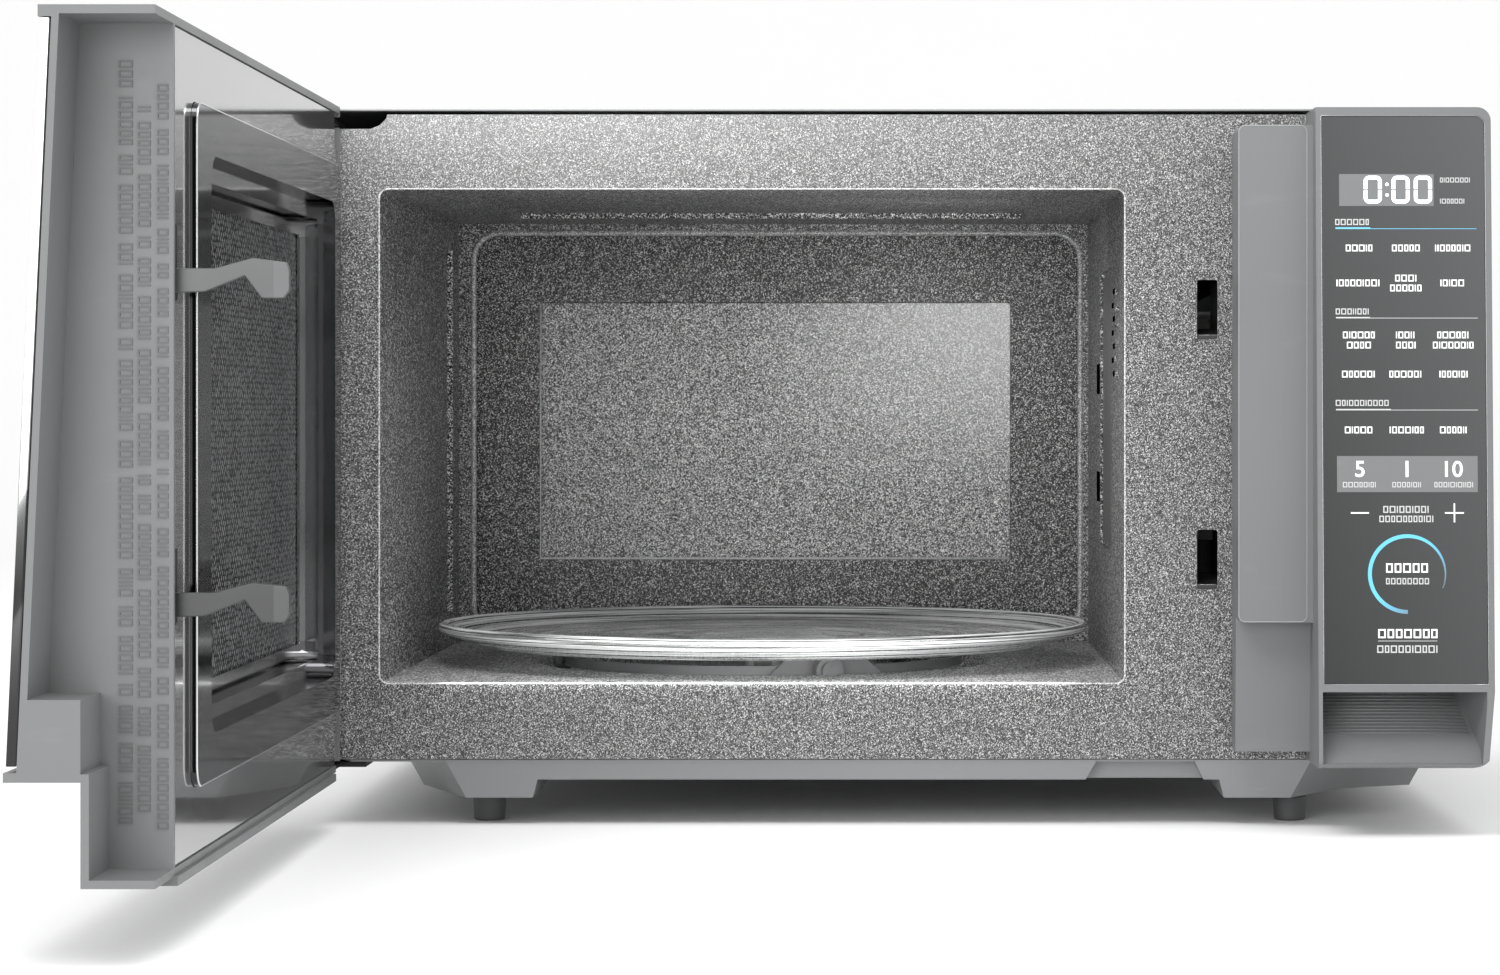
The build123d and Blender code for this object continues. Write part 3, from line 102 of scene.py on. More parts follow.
def make_studio():
    """White surround, softboxes, the cavity's lamp light and a pale floor that curves up behind the oven."""
    world = bpy.data.worlds.new("studio")
    world.use_nodes = True
    background = world.node_tree.nodes["Background"]
    background.inputs["Color"].default_value = (1.0, 1.0, 1.0, 1.0)
    background.inputs["Strength"].default_value = 1.04
    SCENE.world = world
    SCENE.view_settings.view_transform = "Standard"
    soft_light("top_box", (-0.2, -0.9, 2.1), (0.0, -0.1, 0.1), 2.4, 1.8, 20.0)
    soft_light("front_box", (-0.85, -2.9, 0.6), (0.05, 0.0, 0.15), 1.4, 1.0, 27.0)
    soft_light("near_box", (-0.2, -0.6, 0.70), (-0.14, -0.19, 0.28), 0.42, 0.2, 2.8)
    soft_light("cavity_light", (0.02, -0.08, 0.24), (0.0, 0.15, 0.14), 0.1, 0.06, 0.07)
    soft_light("floor_light", (-0.06, -0.192, 0.068), (-0.06, 0.0, 0.061), 0.28, 0.008, 0.06)
    mesh = bpy.data.meshes.new("studio_floor")
    form = bmesh.new()
    profile = [(-6.0, 0.0)]
    profile += [(3.0 + 2.0 * math.sin(a), 2.0 - 2.0 * math.cos(a)) for a in
                (math.radians(5 * step) for step in range(19))]
    profile.append((5.0, 6.0))
    rows = [[form.verts.new((x, y, z)) for x in (-7.0, 7.0)] for y, z in profile]
    for low, high in zip(rows, rows[1:]):
        face = form.faces.new((low[0], low[1], high[1], high[0]))
        face.smooth = True
    form.to_mesh(mesh)
    form.free()
    floor = bpy.data.objects.new("studio_floor", mesh)
    SCENE.collection.objects.link(floor)
    look = Look("studio_paper", (0.9, 0.9, 0.9), 0.85)
    look.mottle(0.01, 3.0)
    mesh.materials.append(look.material)


# ---- materials ----
class Look:
    """One procedural material. Helpers that make a pattern return its output socket."""

    def __init__(self, name, color, roughness, metallic=0.0, **constants):
        self.name = name
        self.material = bpy.data.materials.new("look_" + name)
        self.material.use_nodes = True
        self.nodes = self.material.node_tree.nodes
        self.links = self.material.node_tree.links
        self.shader = self.nodes["Principled BSDF"]
        self.color = color
        self.roughness = roughness
        self.put(self.shader, "Base Color", (*color, 1.0))
        self.put(self.shader, "Roughness", roughness)
        self.put(self.shader, "Metallic", metallic)
        for key, value in constants.items():
            self.put(self.shader, key.replace("_", " "), value)
        self.place = self.nodes.new("ShaderNodeTexCoord").outputs["Object"]

    def put(self, node, key, value):
        """Set an input, or link a socket to it."""
        if isinstance(value, bpy.types.NodeSocket):
            self.links.new(value, node.inputs[key])
        else:
            node.inputs[key].default_value = value

    def axes(self):
        """The X, Y and Z of the object's coordinates, as sockets by name."""
        node = self.nodes.new("ShaderNodeSeparateXYZ")
        self.put(node, "Vector", self.place)
        return node.outputs

    def base(self):
        """The socket that feeds the base colour so far."""
        return self.shader.inputs["Base Color"].links[0].from_socket

    def spot(self, stretch, turn=0.0):
        """Object coordinates, stretched along each axis and turned about X."""
        node = self.nodes.new("ShaderNodeMapping")
        self.put(node, "Vector", self.place)
        self.put(node, "Scale", stretch)
        self.put(node, "Rotation", (math.radians(turn), 0.0, 0.0))
        return node.outputs["Vector"]

    def noise(self, scale, detail=3.0, stretch=(1.0, 1.0, 1.0)):
        """Cloudy pattern, 0 to 1."""
        node = self.nodes.new("ShaderNodeTexNoise")
        self.put(node, "Vector", self.spot(stretch))
        self.put(node, "Scale", scale)
        self.put(node, "Detail", detail)
        return node.outputs["Fac"]

    def cells(self, scale, output="Color", feature="F1", randomness=1.0, stretch=(1.0, 1.0, 1.0), turn=0.0):
        """Random cells: a random colour in each one, or the distance to its middle."""
        node = self.nodes.new("ShaderNodeTexVoronoi")
        node.feature = feature
        self.put(node, "Vector", self.spot(stretch, turn))
        self.put(node, "Scale", scale)
        self.put(node, "Randomness", randomness)
        return node.outputs[output]

    def math(self, operation, first, second=0.0):
        """Arithmetic on two values."""
        node = self.nodes.new("ShaderNodeMath")
        node.operation = operation
        self.put(node, 0, first)
        self.put(node, 1, second)
        return node.outputs["Value"]

    def scale_to(self, value, low, high, start=0.0, end=1.0):
        """Map start..end of a value to low..high, clamped."""
        node = self.nodes.new("ShaderNodeMapRange")
        for key, number in (("Value", value), ("From Min", start), ("From Max", end),
                            ("To Min", low), ("To Max", high)):
            self.put(node, key, number)
        return node.outputs["Result"]

    def ramp(self, value, stops):
        """Grey ramp through (position, brightness) stops."""
        node = self.nodes.new("ShaderNodeValToRGB")
        ramp = node.color_ramp
        while len(ramp.elements) < len(stops):
            ramp.elements.new(0.5)
        for element, (position, level) in zip(ramp.elements, stops):
            element.position = position
            element.color = (level, level, level, 1.0)
        self.put(node, "Fac", value)
        return node.outputs["Color"]

    def blend(self, amount, first, second):
        """Mix of two colours."""
        node = self.nodes.new("ShaderNodeMix")
        node.data_type = "RGBA"
        self.put(node, 0, amount)
        self.put(node, 6, first)
        self.put(node, 7, second)
        return node.outputs[2]

    def toned(self, gain):
        """The material's own colour, made lighter or darker."""
        return tuple(min(1.0, part * gain) for part in self.color) + (1.0,)

    def mottle(self, depth, scale, detail=4.0, stretch=(1.0, 1.0, 1.0)):
        """Uneven colour and roughness over the surface."""
        cloud = self.noise(scale, detail, stretch)
        self.put(self.shader, "Base Color", self.blend(cloud, self.toned(1 - depth), self.toned(1 + depth)))
        spread = self.roughness * 0.18
        patch = self.noise(scale * 2.3, detail, stretch)
        self.put(self.shader, "Roughness",
                 self.scale_to(patch, self.roughness - spread, self.roughness + spread))
        return cloud

    def bump(self, height, strength, depth=0.0002):
        """Relief from a height pattern, stacked on any relief already there."""
        node = self.nodes.new("ShaderNodeBump")
        self.put(node, "Height", height)
        self.put(node, "Strength", strength)
        self.put(node, "Distance", depth)
        normal = self.shader.inputs["Normal"]
        if normal.is_linked:
            self.put(node, "Normal", normal.links[0].from_socket)
        self.put(self.shader, "Normal", node.outputs["Normal"])

    def worn(self, gain, scale=30.0, limit=0.63):
        """Sparse light rub marks."""
        marks = self.scale_to(self.noise(scale, 9.0, (1.0, 1.0, 4.0)), 0.0, 1.0, limit, limit + 0.09)
        base = self.shader.inputs["Base Color"]
        below = base.links[0].from_socket if base.is_linked else self.toned(1.0)
        faint = self.math("MULTIPLY", marks, 0.35)
        self.put(self.shader, "Base Color", self.blend(faint, below, self.toned(gain)))


def enamel_look(name, stops, metallic, roughness, grain_scale=2200.0, stretch=(1.0, 1.0, 1.0)):
    """Speckled enamel: grains of dark, grey and bright flake under a clear coat."""
    look = Look(name, (0.4, 0.4, 0.4), roughness, metallic, Coat_Weight=0.2, Coat_Roughness=0.25)
    coarse = look.math("MULTIPLY", look.cells(grain_scale, stretch=stretch), 0.6)
    fine = look.math("MULTIPLY", look.cells(grain_scale * 2.05, stretch=stretch), 0.4)
    grain = look.math("ADD", coarse, fine)
    look.put(look.shader, "Base Color", look.ramp(grain, stops))
    flakes = look.cells(2900.0)
    look.put(look.shader, "Roughness", look.scale_to(flakes, roughness - 0.12, roughness + 0.14))
    look.bump(grain, 0.35, 0.00025)
    look.bump(look.noise(260.0, 3.0), 0.08, 0.0006)
    return look


def front_enamel_look(stops):
    """Front plate enamel, with a painted highlight: whitened along its top and towards the left."""
    look = enamel_look("front_enamel", stops, 0.35, 0.42)
    axes = look.axes()
    # painted highlight: towards the top, and most on the left, the enamel is blended towards white
    painted_light_by_height = look.scale_to(axes["Z"], 0.0, 0.14, 0.262, 0.312)
    across = look.scale_to(axes["X"], 1.0, 0.15, -0.12, 0.18)
    base = look.base()
    pale = look.blend(look.math("MULTIPLY", painted_light_by_height, across), base, (1.0, 1.0, 1.0, 1.0))
    look.put(look.shader, "Base Color", pale)
    return look


def rear_enamel_look():
    """Rear wall enamel: mid grey rim, darker border, and a middle panel with painted light: paler stops,
    whitened further towards its upper right.
    """
    dark = ((0.40, 0.0), (0.49, 0.01), (0.56, 0.055), (0.63, 0.24), (0.74, 0.85))
    mid = ((0.32, 0.01), (0.46, 0.05), (0.56, 0.15), (0.66, 0.40), (0.78, 0.9))
    # the middle panel's paler stops are painted light
    pale = ((0.30, 0.015), (0.44, 0.085), (0.54, 0.27), (0.64, 0.62), (0.76, 1.0))
    look = enamel_look("rear_enamel", dark, 0.25, 0.42, 1700.0)
    border_ramp = look.shader.inputs["Base Color"].links[0].from_node
    grain = border_ramp.inputs["Fac"].links[0].from_socket
    axes = look.axes()
    nearest, deepest = (corner.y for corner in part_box("cavity_back"))
    middle = look.scale_to(axes["Y"], 0.0, 1.0, deepest - 2.5 * MM, deepest - 1.5 * MM)
    recess = look.scale_to(axes["Y"], 0.0, 1.0, nearest + 0.5 * MM, nearest + 1.5 * MM)
    # painted light: the middle panel is whitened towards its upper right
    across = look.scale_to(axes["X"], 0.0, 0.10, -0.08, 0.08)
    painted_light_by_height = look.scale_to(axes["Z"], 0.0, 0.16, 0.14, 0.24)
    painted_light_upper_right = look.math("MULTIPLY", look.math("MULTIPLY", across, painted_light_by_height), 38.0)
    panel = look.blend(painted_light_upper_right, look.ramp(grain, pale), (1.0, 1.0, 1.0, 1.0))
    border = look.blend(recess, look.ramp(grain, mid), border_ramp.outputs["Color"])
    look.put(look.shader, "Base Color", look.blend(middle, border, panel))
    return look


def plastic_look(name, color, roughness, grain=2200.0, relief=0.12, **constants):
    """Moulded plastic with a fine spark-eroded grain."""
    look = Look(name, color, roughness, 0.0, **constants)
    look.mottle(0.05, 14.0)
    look.bump(look.noise(grain, 2.0), relief, 0.00008)
    look.bump(look.noise(45.0, 2.0), 0.05, 0.001)
    look.worn(1.18)
    return look


def paint_look(name, color, roughness, metallic=0.25, **constants):
    """Smooth paint on sheet steel, with a faint orange peel."""
    look = Look(name, color, roughness, metallic, **constants)
    look.mottle(0.05, 9.0)
    look.bump(look.noise(520.0, 2.0), 0.10, 0.0003)
    look.worn(1.3, 55.0, 0.66)
    return look


def brushed_look(name, color, roughness, stretch=(1.0, 1.0, 40.0), **constants):
    """Metal with fine lines along one way."""
    look = Look(name, color, roughness, 1.0, **constants)
    look.mottle(0.09, 70.0, 5.0, stretch)
    look.bump(look.noise(240.0, 4.0, stretch), 0.08, 0.0001)
    return look


def spangle_look(name, color):
    """Zinc-plated sheet with its faint crystal pattern."""
    look = Look(name, color, 0.34, 1.0)
    crystals = look.cells(170.0)
    look.put(look.shader, "Base Color", look.blend(crystals, look.toned(0.82), look.toned(1.12)))
    look.put(look.shader, "Roughness", look.scale_to(crystals, 0.26, 0.44))
    look.bump(look.noise(700.0, 3.0), 0.06, 0.0002)
    look.worn(0.6, 40.0, 0.66)
    return look


def layered_look(name, color, roughness, metallic, pitch, axis):
    """Wound wire or stacked sheets: even lines across one axis."""
    look = Look(name, color, roughness, metallic)
    node = look.nodes.new("ShaderNodeTexWave")
    node.bands_direction = axis
    look.put(node, "Vector", look.spot((1.0, 1.0, 1.0)))
    look.put(node, "Scale", 0.314 / pitch)
    look.put(node, "Distortion", 0.4)
    lines = node.outputs["Fac"]
    look.put(look.shader, "Base Color", look.blend(lines, look.toned(0.55), look.toned(1.15)))
    look.put(look.shader, "Roughness", look.scale_to(lines, roughness + 0.15, roughness - 0.05))
    look.bump(lines, 0.6, pitch * 0.4)
    return look


def board_look():
    """Circuit board: solder mask over copper tracks, with tinned pads."""
    look = Look("board_green", (0.03, 0.14, 0.06), 0.35, 0.0, Coat_Weight=0.4)
    tracks = look.scale_to(look.cells(210.0, "Distance", "DISTANCE_TO_EDGE"), 1.0, 0.0, 0.02, 0.05)
    pads = look.scale_to(look.cells(260.0, "Distance", "F1", 0.4), 1.0, 0.0, 0.16, 0.2)
    base = look.blend(tracks, look.toned(1.0), (0.06, 0.26, 0.10, 1.0))
    look.put(look.shader, "Base Color", look.blend(pads, base, (0.62, 0.62, 0.58, 1.0)))
    look.put(look.shader, "Metallic", pads)
    look.bump(look.math("ADD", tracks, pads), 0.5, 0.0002)
    return look


def screen_look():
    """Black perforated sheet: rows of fine round holes that show the pale space behind."""
    look = Look("screen_black", (0.012, 0.012, 0.013), 0.3, 0.4)
    dots = look.cells(330.0, "Distance", "F1", 0.3, (0.0, 1.0, 1.0), 45.0)
    holes = look.scale_to(dots, 1.0, 0.0, 0.26, 0.36)
    dust = look.noise(90.0, 3.0)
    pale = look.blend(dust, (0.12, 0.12, 0.125, 1.0), (0.42, 0.42, 0.425, 1.0))
    look.put(look.shader, "Base Color", look.blend(holes, look.toned(1.0), pale))
    look.put(look.shader, "Roughness", look.scale_to(holes, 0.26, 0.7))
    look.bump(look.math("SUBTRACT", 1.0, holes), 0.6, 0.0003)
    return look


def glass_look(name, color, roughness=0.01, ior=1.5):
    """Clear glass with a very slight ripple."""
    look = Look(name, color, roughness, 0.0, Transmission_Weight=1.0, IOR=ior)
    tint = look.noise(22.0, 2.0)
    look.put(look.shader, "Base Color", look.blend(tint, look.toned(0.97), look.toned(1.0)))
    haze = look.noise(60.0, 4.0)
    look.put(look.shader, "Roughness", look.scale_to(haze, roughness, roughness + 0.03, 0.5, 0.9))
    look.bump(look.noise(38.0, 2.0), 0.03, 0.0008)
    return look


def seal_look():
    """Dark, polished pressed steel of the door's sealing face, with painted shade: black on the wall past its
    free end.
    """
    look = Look("seal_steel", (0.085, 0.085, 0.088), 0.09, 1.0)
    look.mottle(0.12, 25.0, 4.0, (1.0, 1.0, 5.0))
    axes = look.axes()
    face = look.scale_to(axes["Y"], 0.0, 1.0, LAND_END, LAND_END + 0.1 * MM)
    base = look.base()
    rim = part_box("door_seal_plate")[1].x
    deep = look.scale_to(axes["X"], 1.0, 0.0, rim - 9.0 * MM, rim - 6.0 * MM)
    base = look.blend(deep, base, (0.2, 0.2, 0.203, 1.0))
    # painted shade: the wall past the land's free end is near black, blackest towards the rim
    wall = look.ramp(look.scale_to(axes["X"], 0.0, 1.0, rim - 2.2 * MM, rim - 1.7 * MM),
                     ((0.0, 0.13), (1.0, 0.006)))
    look.put(look.shader, "Base Color", look.blend(face, wall, base))
    look.bump(look.noise(18.0, 2.0), 0.05, 0.001)
    look.bump(look.noise(900.0, 3.0, (1.0, 1.0, 0.1)), 0.03, 0.0001)
    return look


def hook_look():
    """Grey moulded latch bar, with painted shade on the lower hook and a painted highlight on the flat at each
    hook's tip.
    """
    look = plastic_look("key_plastic", (0.088, 0.09, 0.092), 0.34, 1800.0, 0.08)
    axes = look.axes()
    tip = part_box("latch_key")[1].x
    # painted shade: the colour is blended towards black, most on the lower hook and least on the flat at each
    # tip, which reads as a painted highlight
    lower = look.scale_to(axes["Z"], 0.3, 0.75, 0.12, 0.2)
    flat = look.scale_to(axes["X"], 0.0, 0.3, tip - 5.6 * MM, tip - 5.3 * MM)
    shade = look.math("ADD", lower, flat)
    base = look.base()
    look.put(look.shader, "Base Color", look.blend(shade, (0.0, 0.0, 0.0, 1.0), base))
    return look


def plate_glass_look():
    """Turntable glass with painted reflections: milky patches on the floor, pale streaks on the rim and dark
    lines along its moulded rings.
    """
    look = Look("plate_glass", (0.98, 0.99, 0.985), 0.03, 0.0, IOR=1.5)
    low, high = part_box("glass_plate")
    centre = (low + high) / 2
    axes = look.axes()
    x = look.math("SUBTRACT", axes["X"], centre.x)
    y = look.math("SUBTRACT", axes["Y"], centre.y)
    square = look.math("ADD", look.math("MULTIPLY", x, x), look.math("MULTIPLY", y, y))
    radius = look.math("SQRT", square)
    swirl = look.nodes.new("ShaderNodeCombineXYZ")
    look.put(swirl, "X", look.math("MULTIPLY", radius, 900.0))
    look.put(swirl, "Y", look.math("MULTIPLY", axes["Z"], 900.0))
    look.put(swirl, "Z", look.math("MULTIPLY", look.math("ARCTAN2", y, x), 1.4))
    streaks = look.nodes.new("ShaderNodeTexNoise")
    look.put(streaks, "Vector", swirl.outputs["Vector"])
    look.put(streaks, "Scale", 1.0)
    look.put(streaks, "Detail", 3.0)
    # painted highlight: streaks on the rim where the glass turns milky white
    painted_highlight_streaks = look.scale_to(streaks.outputs["Fac"], 0.05, 0.95, 0.47, 0.56)
    rim = look.scale_to(radius, 0.0, 1.0, 0.133, 0.138)
    # painted sheen: patches of the floor are made partly milky white
    painted_sheen_patches = look.scale_to(look.noise(16.0, 2.0, (1.0, 2.0, 1.0)), 0.6, 0.86, 0.40, 0.62)
    clear = look.math("MULTIPLY", look.math("SUBTRACT", 1.0, rim), painted_sheen_patches)
    look.put(look.shader, "Transmission Weight", look.math("ADD", clear, look.math("MULTIPLY", rim, painted_highlight_streaks)))
    # painted reflection: dark lines along the rim's moulded rings
    rings = look.math("SINE", look.math("MULTIPLY", axes["Z"], 2400.0))
    lines = look.math("MULTIPLY", look.scale_to(rings, 0.0, 1.0, 0.80, 0.93), rim)
    look.put(look.shader, "Base Color", look.blend(lines, look.toned(1.0), (0.05, 0.05, 0.05, 1.0)))
    look.put(look.shader, "Roughness", look.scale_to(look.noise(60.0, 4.0), 0.01, 0.06))
    look.bump(streaks.outputs["Fac"], 0.08, 0.0004)
    return look


def touch_look():
    """Dark grey printed film behind a glossy face, with painted light: lighter towards its upper right, darkest
    in its lower left corner.
    """
    look = Look("touch_face", (0.085, 0.087, 0.088), 0.24, 0.0, Specular_IOR_Level=0.3)
    low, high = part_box("panel_glass")
    axes = look.axes()
    # painted light: the film is lightened towards the right and towards the top
    across = look.scale_to(axes["X"], 0.0, 0.38, low.x, high.x)
    painted_light_by_height = look.scale_to(axes["Z"], 0.0, 0.45, low.z, high.z)
    cloud = look.math("MULTIPLY", look.noise(9.0, 3.0), 0.12)
    amount = look.math("ADD", look.math("ADD", across, painted_light_by_height), cloud)
    look.put(look.shader, "Base Color", look.blend(amount, look.toned(0.3), look.toned(1.08)))
    look.put(look.shader, "Roughness", look.scale_to(look.noise(120.0, 5.0), 0.12, 0.22))
    look.bump(look.noise(60.0, 2.0), 0.02, 0.0005)
    return look


def glow_look(name, color, strength):
    """Lit print: bright, with a soft unevenness."""
    look = Look(name, color, 0.5, 0.0, Emission_Strength=strength)
    cloud = look.noise(300.0, 2.0)
    shade = look.blend(cloud, look.toned(0.93), look.toned(1.0))
    look.put(look.shader, "Base Color", shade)
    look.put(look.shader, "Emission Color", shade)
    return look


def mirror_look():
    """Mirror-coated glass of the door; its cut free edge carries a painted reflection, pale at the top and dark
    below, and is dark at the back.
    """
    look = Look("mirror_glass", (0.50, 0.505, 0.515), 0.05, 1.0, Coat_Weight=1.0, Coat_Roughness=0.01)
    look.mottle(0.04, 7.0, 3.0)
    axes = look.axes()
    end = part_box("door_glass")[0].y
    cut = look.scale_to(axes["Y"], 1.0, 0.0, end + 0.1 * MM, end + 0.3 * MM)
    # painted reflection on the cut edge: pale at the top, dark below
    height = look.scale_to(axes["Z"], 0.0, 1.0, 0.085, 0.245)
    shade = look.ramp(height, ((0.0, 0.004), (0.25, 0.03), (0.55, 0.25), (1.0, 0.95)))
    lean = look.math("MULTIPLY", axes["Z"], GLASS_SLOPE)
    back = DOOR_PLANE - (GLASS_OUT_BOTTOM - GLASS_THICK - GLASS_SLOPE * GLASS_BOTTOM) * MM
    depth = look.math("ADD", axes["X"], lean)
    near = look.scale_to(depth, 0.0, 1.0, back - 0.8 * MM, back - 0.5 * MM)
    shade = look.blend(near, shade, (0.003, 0.003, 0.003, 1.0))
    base = look.base()
    look.put(look.shader, "Base Color", look.blend(cut, base, shade))
    look.bump(look.noise(16.0, 2.0), 0.02, 0.001)
    return look


def make_looks():
    """Finishes of the frame's slots, each named after its slot."""
    grey_enamel = ((0.2, 0.006), (0.38, 0.032), (0.52, 0.10), (0.66, 0.25), (0.82, 0.72))
    wall_enamel = ((0.32, 0.0), (0.45, 0.008), (0.53, 0.05), (0.61, 0.28), (0.72, 1.0))
    # painted light: the cavity floor gets paler stops than the walls, lifting it where the turntable's shadow
    # falls
    floor_painted_light_enamel = ((0.2, 0.08), (0.4, 0.2), (0.52, 0.45), (0.64, 0.8), (0.8, 1.0))
    return [
        enamel_look("speckle_enamel", grey_enamel, 0.35, 0.42),
        front_enamel_look(grey_enamel),
        enamel_look("cavity_enamel", wall_enamel, 0.3, 0.42, 1700.0, (1.0, 0.35, 1.0)),
        enamel_look("floor_painted_light_enamel", floor_painted_light_enamel, 0.1, 0.36, 1500.0, (1.0, 0.16, 1.0)),
        rear_enamel_look(),
        paint_look("silver_paint", (0.25, 0.253, 0.258), 0.4, 0.3),
        paint_look("base_paint", (0.215, 0.218, 0.222), 0.42, 0.1),
        spangle_look("zinc_steel", (0.62, 0.63, 0.64)),
        seal_look(),
        screen_look(),
        glass_look("clear_film", (0.97, 0.98, 0.98), 0.02, 1.01),
        plastic_look("grey_plastic", (0.15, 0.153, 0.155), 0.46),
        plastic_look("cover_plastic", (0.09, 0.09, 0.092), 0.12, 900.0, 0.02,
                     Coat_Weight=0.8, Coat_Roughness=0.04),
        touch_look(),
        glow_look("display", (0.92, 0.96, 1.0), 1.5),
        glass_look("clear_glass", (0.97, 0.985, 0.98)),
        plate_glass_look(),
        mirror_look(),
        paint_look("black_steel", (0.012, 0.012, 0.013), 0.36, 0.4),
        plastic_look("rubber", (0.065, 0.066, 0.068), 0.6, 1500.0, 0.3),
        hook_look(),
        plastic_look("white_plastic", (0.78, 0.78, 0.76), 0.4, 1600.0, 0.08),
        plastic_look("black_plastic", (0.02, 0.02, 0.02), 0.45),
        plastic_look("ring_plastic", (0.15, 0.151, 0.154), 0.45, 1700.0, 0.15),
        board_look(),
        plastic_look("mica", (0.10, 0.098, 0.094), 0.4, 400.0, 0.25),
        layered_look("core_steel", (0.09, 0.09, 0.1), 0.4, 0.7, 0.001, "X"),
        layered_look("copper", (0.62, 0.24, 0.09), 0.3, 0.9, 0.0009, "Z"),
        brushed_look("aluminium", (0.72, 0.73, 0.74), 0.3),
        plastic_look("ceramic_white", (0.8, 0.79, 0.76), 0.22, 700.0, 0.05),
        brushed_look("shaft_steel", (0.5, 0.51, 0.52), 0.22, (30.0, 30.0, 1.0)),
    ]


def detail_looks():
    """Finishes of the small visual pieces."""
    return [
        # pale enamels for painted highlights along edges, steps and ledges
        enamel_look("highlight_enamel", ((0.2, 0.12), (0.4, 0.36), (0.6, 0.65), (0.8, 1.0)), 0.2, 0.3),
        enamel_look("step_highlight_enamel", ((0.3, 0.16), (0.45, 0.38), (0.6, 0.7), (0.72, 1.0)), 0.1, 0.4, 1900.0),
        enamel_look("edge_highlight_enamel", ((0.2, 0.4), (0.42, 0.7), (0.6, 0.95), (0.8, 1.0)), 0.0, 0.4),
        # flat black without sheen, for painted shade
        plastic_look("painted_shade_black", (0.003, 0.003, 0.003), 0.95, Specular_IOR_Level=0.0),
        brushed_look("bezel_metal", (0.36, 0.364, 0.37), 0.2),
        # pale plastic of a painted edge highlight
        plastic_look("highlight_plastic", (0.30, 0.303, 0.306), 0.4),
        # pale steel of the painted highlight along the sealing land's edge
        brushed_look("land_highlight_steel", (0.72, 0.725, 0.73), 0.14),
        glow_look("print_white", (0.9, 0.9, 0.9), 0.2),
        glow_look("print_dim", (0.5, 0.5, 0.505), 0.1),
        glow_look("print_blue", (0.14, 0.46, 0.66), 0.25),
        glow_look("halo", (0.15, 0.155, 0.158), 0.12),
        plastic_look("window_film", (0.165, 0.168, 0.17), 0.2, 900.0, 0.02),
        # darker grey than the door's plastic: painted shade of the moulded marks
        plastic_look("relief", (0.105, 0.107, 0.109), 0.5),
        ring_blue_look(),
    ]


# ---- meshes ----
def shade_smooth(piece, bevel=0.0, limit=35.0):
    """Soften a piece's edges with modifiers, keeping its flat faces flat."""
    weld = piece.modifiers.new("weld", "WELD")
    weld.merge_threshold = 0.000004
    if bevel:
        dissolve = piece.modifiers.new("flatten", "DECIMATE")
        dissolve.decimate_type = "DISSOLVE"
        dissolve.angle_limit = math.radians(0.4)
        edge = piece.modifiers.new("edge", "BEVEL")
        edge.width = bevel
        edge.segments = 2
        edge.limit_method = "ANGLE"
        edge.angle_limit = math.radians(limit)
        edge.use_clamp_overlap = True
    normals = piece.modifiers.new("normals", "WEIGHTED_NORMAL")
    normals.weight = 100
    normals.keep_sharp = False


def add_piece(name, mesh, material, body, smooth=True):
    """Put a mesh in the scene as a piece of the object."""
    for polygon in mesh.polygons:
        polygon.use_smooth = smooth
    mesh.materials.append(material)
    piece = bpy.data.objects.new(name, mesh)
    SCENE.collection.objects.link(piece)
    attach(piece, body)
    return piece


def mesh_of(name, build):
    """Mesh filled in by a function that is given an empty bmesh."""
    form = bmesh.new()
    build(form)
    bmesh.ops.recalc_face_normals(form, faces=form.faces)
    mesh = bpy.data.meshes.new(name)
    form.to_mesh(mesh)
    form.free()
    return mesh


def add_tube(form, points, radius, closed, sides=8):
    """Round bar along points, ended with flat caps unless it closes on itself."""
    count = len(points)
    rings = []
    for index, point in enumerate(points):
        before = points[index - 1] if closed or index else point
        after = points[(index + 1) % count] if closed or index < count - 1 else point
        along = (after - before).normalized()
        side = along.cross(Vector((0.31, 0.87, 0.38))).normalized()
        up = along.cross(side)
        rings.append([
            form.verts.new(point + radius * (math.cos(a) * side + math.sin(a) * up))
            for a in (2 * math.pi * k / sides for k in range(sides))
        ])
    pairs = list(zip(rings, rings[1:]))
    if closed:
        pairs.append((rings[-1], rings[0]))
    else:
        form.faces.new(rings[0])
        form.faces.new(rings[-1][::-1])
    for first, second in pairs:
        for k in range(sides):
            form.faces.new((first[k], first[k - 1], second[k - 1], second[k]))


def add_bead(name, points, radius, closed, look, body, sides=10):
    """A piece that is one tube along points, its radius in millimetres."""
    mesh = mesh_of(name, lambda form: add_tube(form, points, radius * MM, closed, sides))
    add_piece(name, mesh, look, body)


def add_plate(form, outline, to_front, to_back):
    """Closed thin solid: an outline of (a, b) points, carried to its front and its back."""
    front = [form.verts.new(to_front(a, b)) for a, b in outline]
    back = [form.verts.new(to_back(a, b)) for a, b in outline]
    form.faces.new(front)
    form.faces.new(back[::-1])
    for k in range(len(outline)):
        form.faces.new((front[k], front[k - 1], back[k - 1], back[k]))


def rounded(x0, x1, z0, z1, radius, steps=4):
    """Outline of a rectangle with rounded corners."""
    radius = min(radius, (x1 - x0) / 2, (z1 - z0) / 2)
    corners = ((x1 - radius, z0 + radius, -90), (x1 - radius, z1 - radius, 0),
               (x0 + radius, z1 - radius, 90), (x0 + radius, z0 + radius, 180))
    points = []
    for x, z, start in corners:
        for k in range(steps + 1):
            a = math.radians(start + 90 * k / steps)
            points.append((x + radius * math.cos(a), z + radius * math.sin(a)))
    return points


def dense_loop(outline, spacing, place):
    """Points along a closed outline, close enough together for an even tube."""
    points = []
    for first, second in zip(outline, outline[1:] + outline[:1]):
        length = math.dist(first, second)
        if length < 1e-9:
            continue
        for k in range(max(1, int(length / spacing))):
            t = k / max(1, int(length / spacing))
            across = first[0] + (second[0] - first[0]) * t
            points.append(place(across, first[1] + (second[1] - first[1]) * t))
    return points


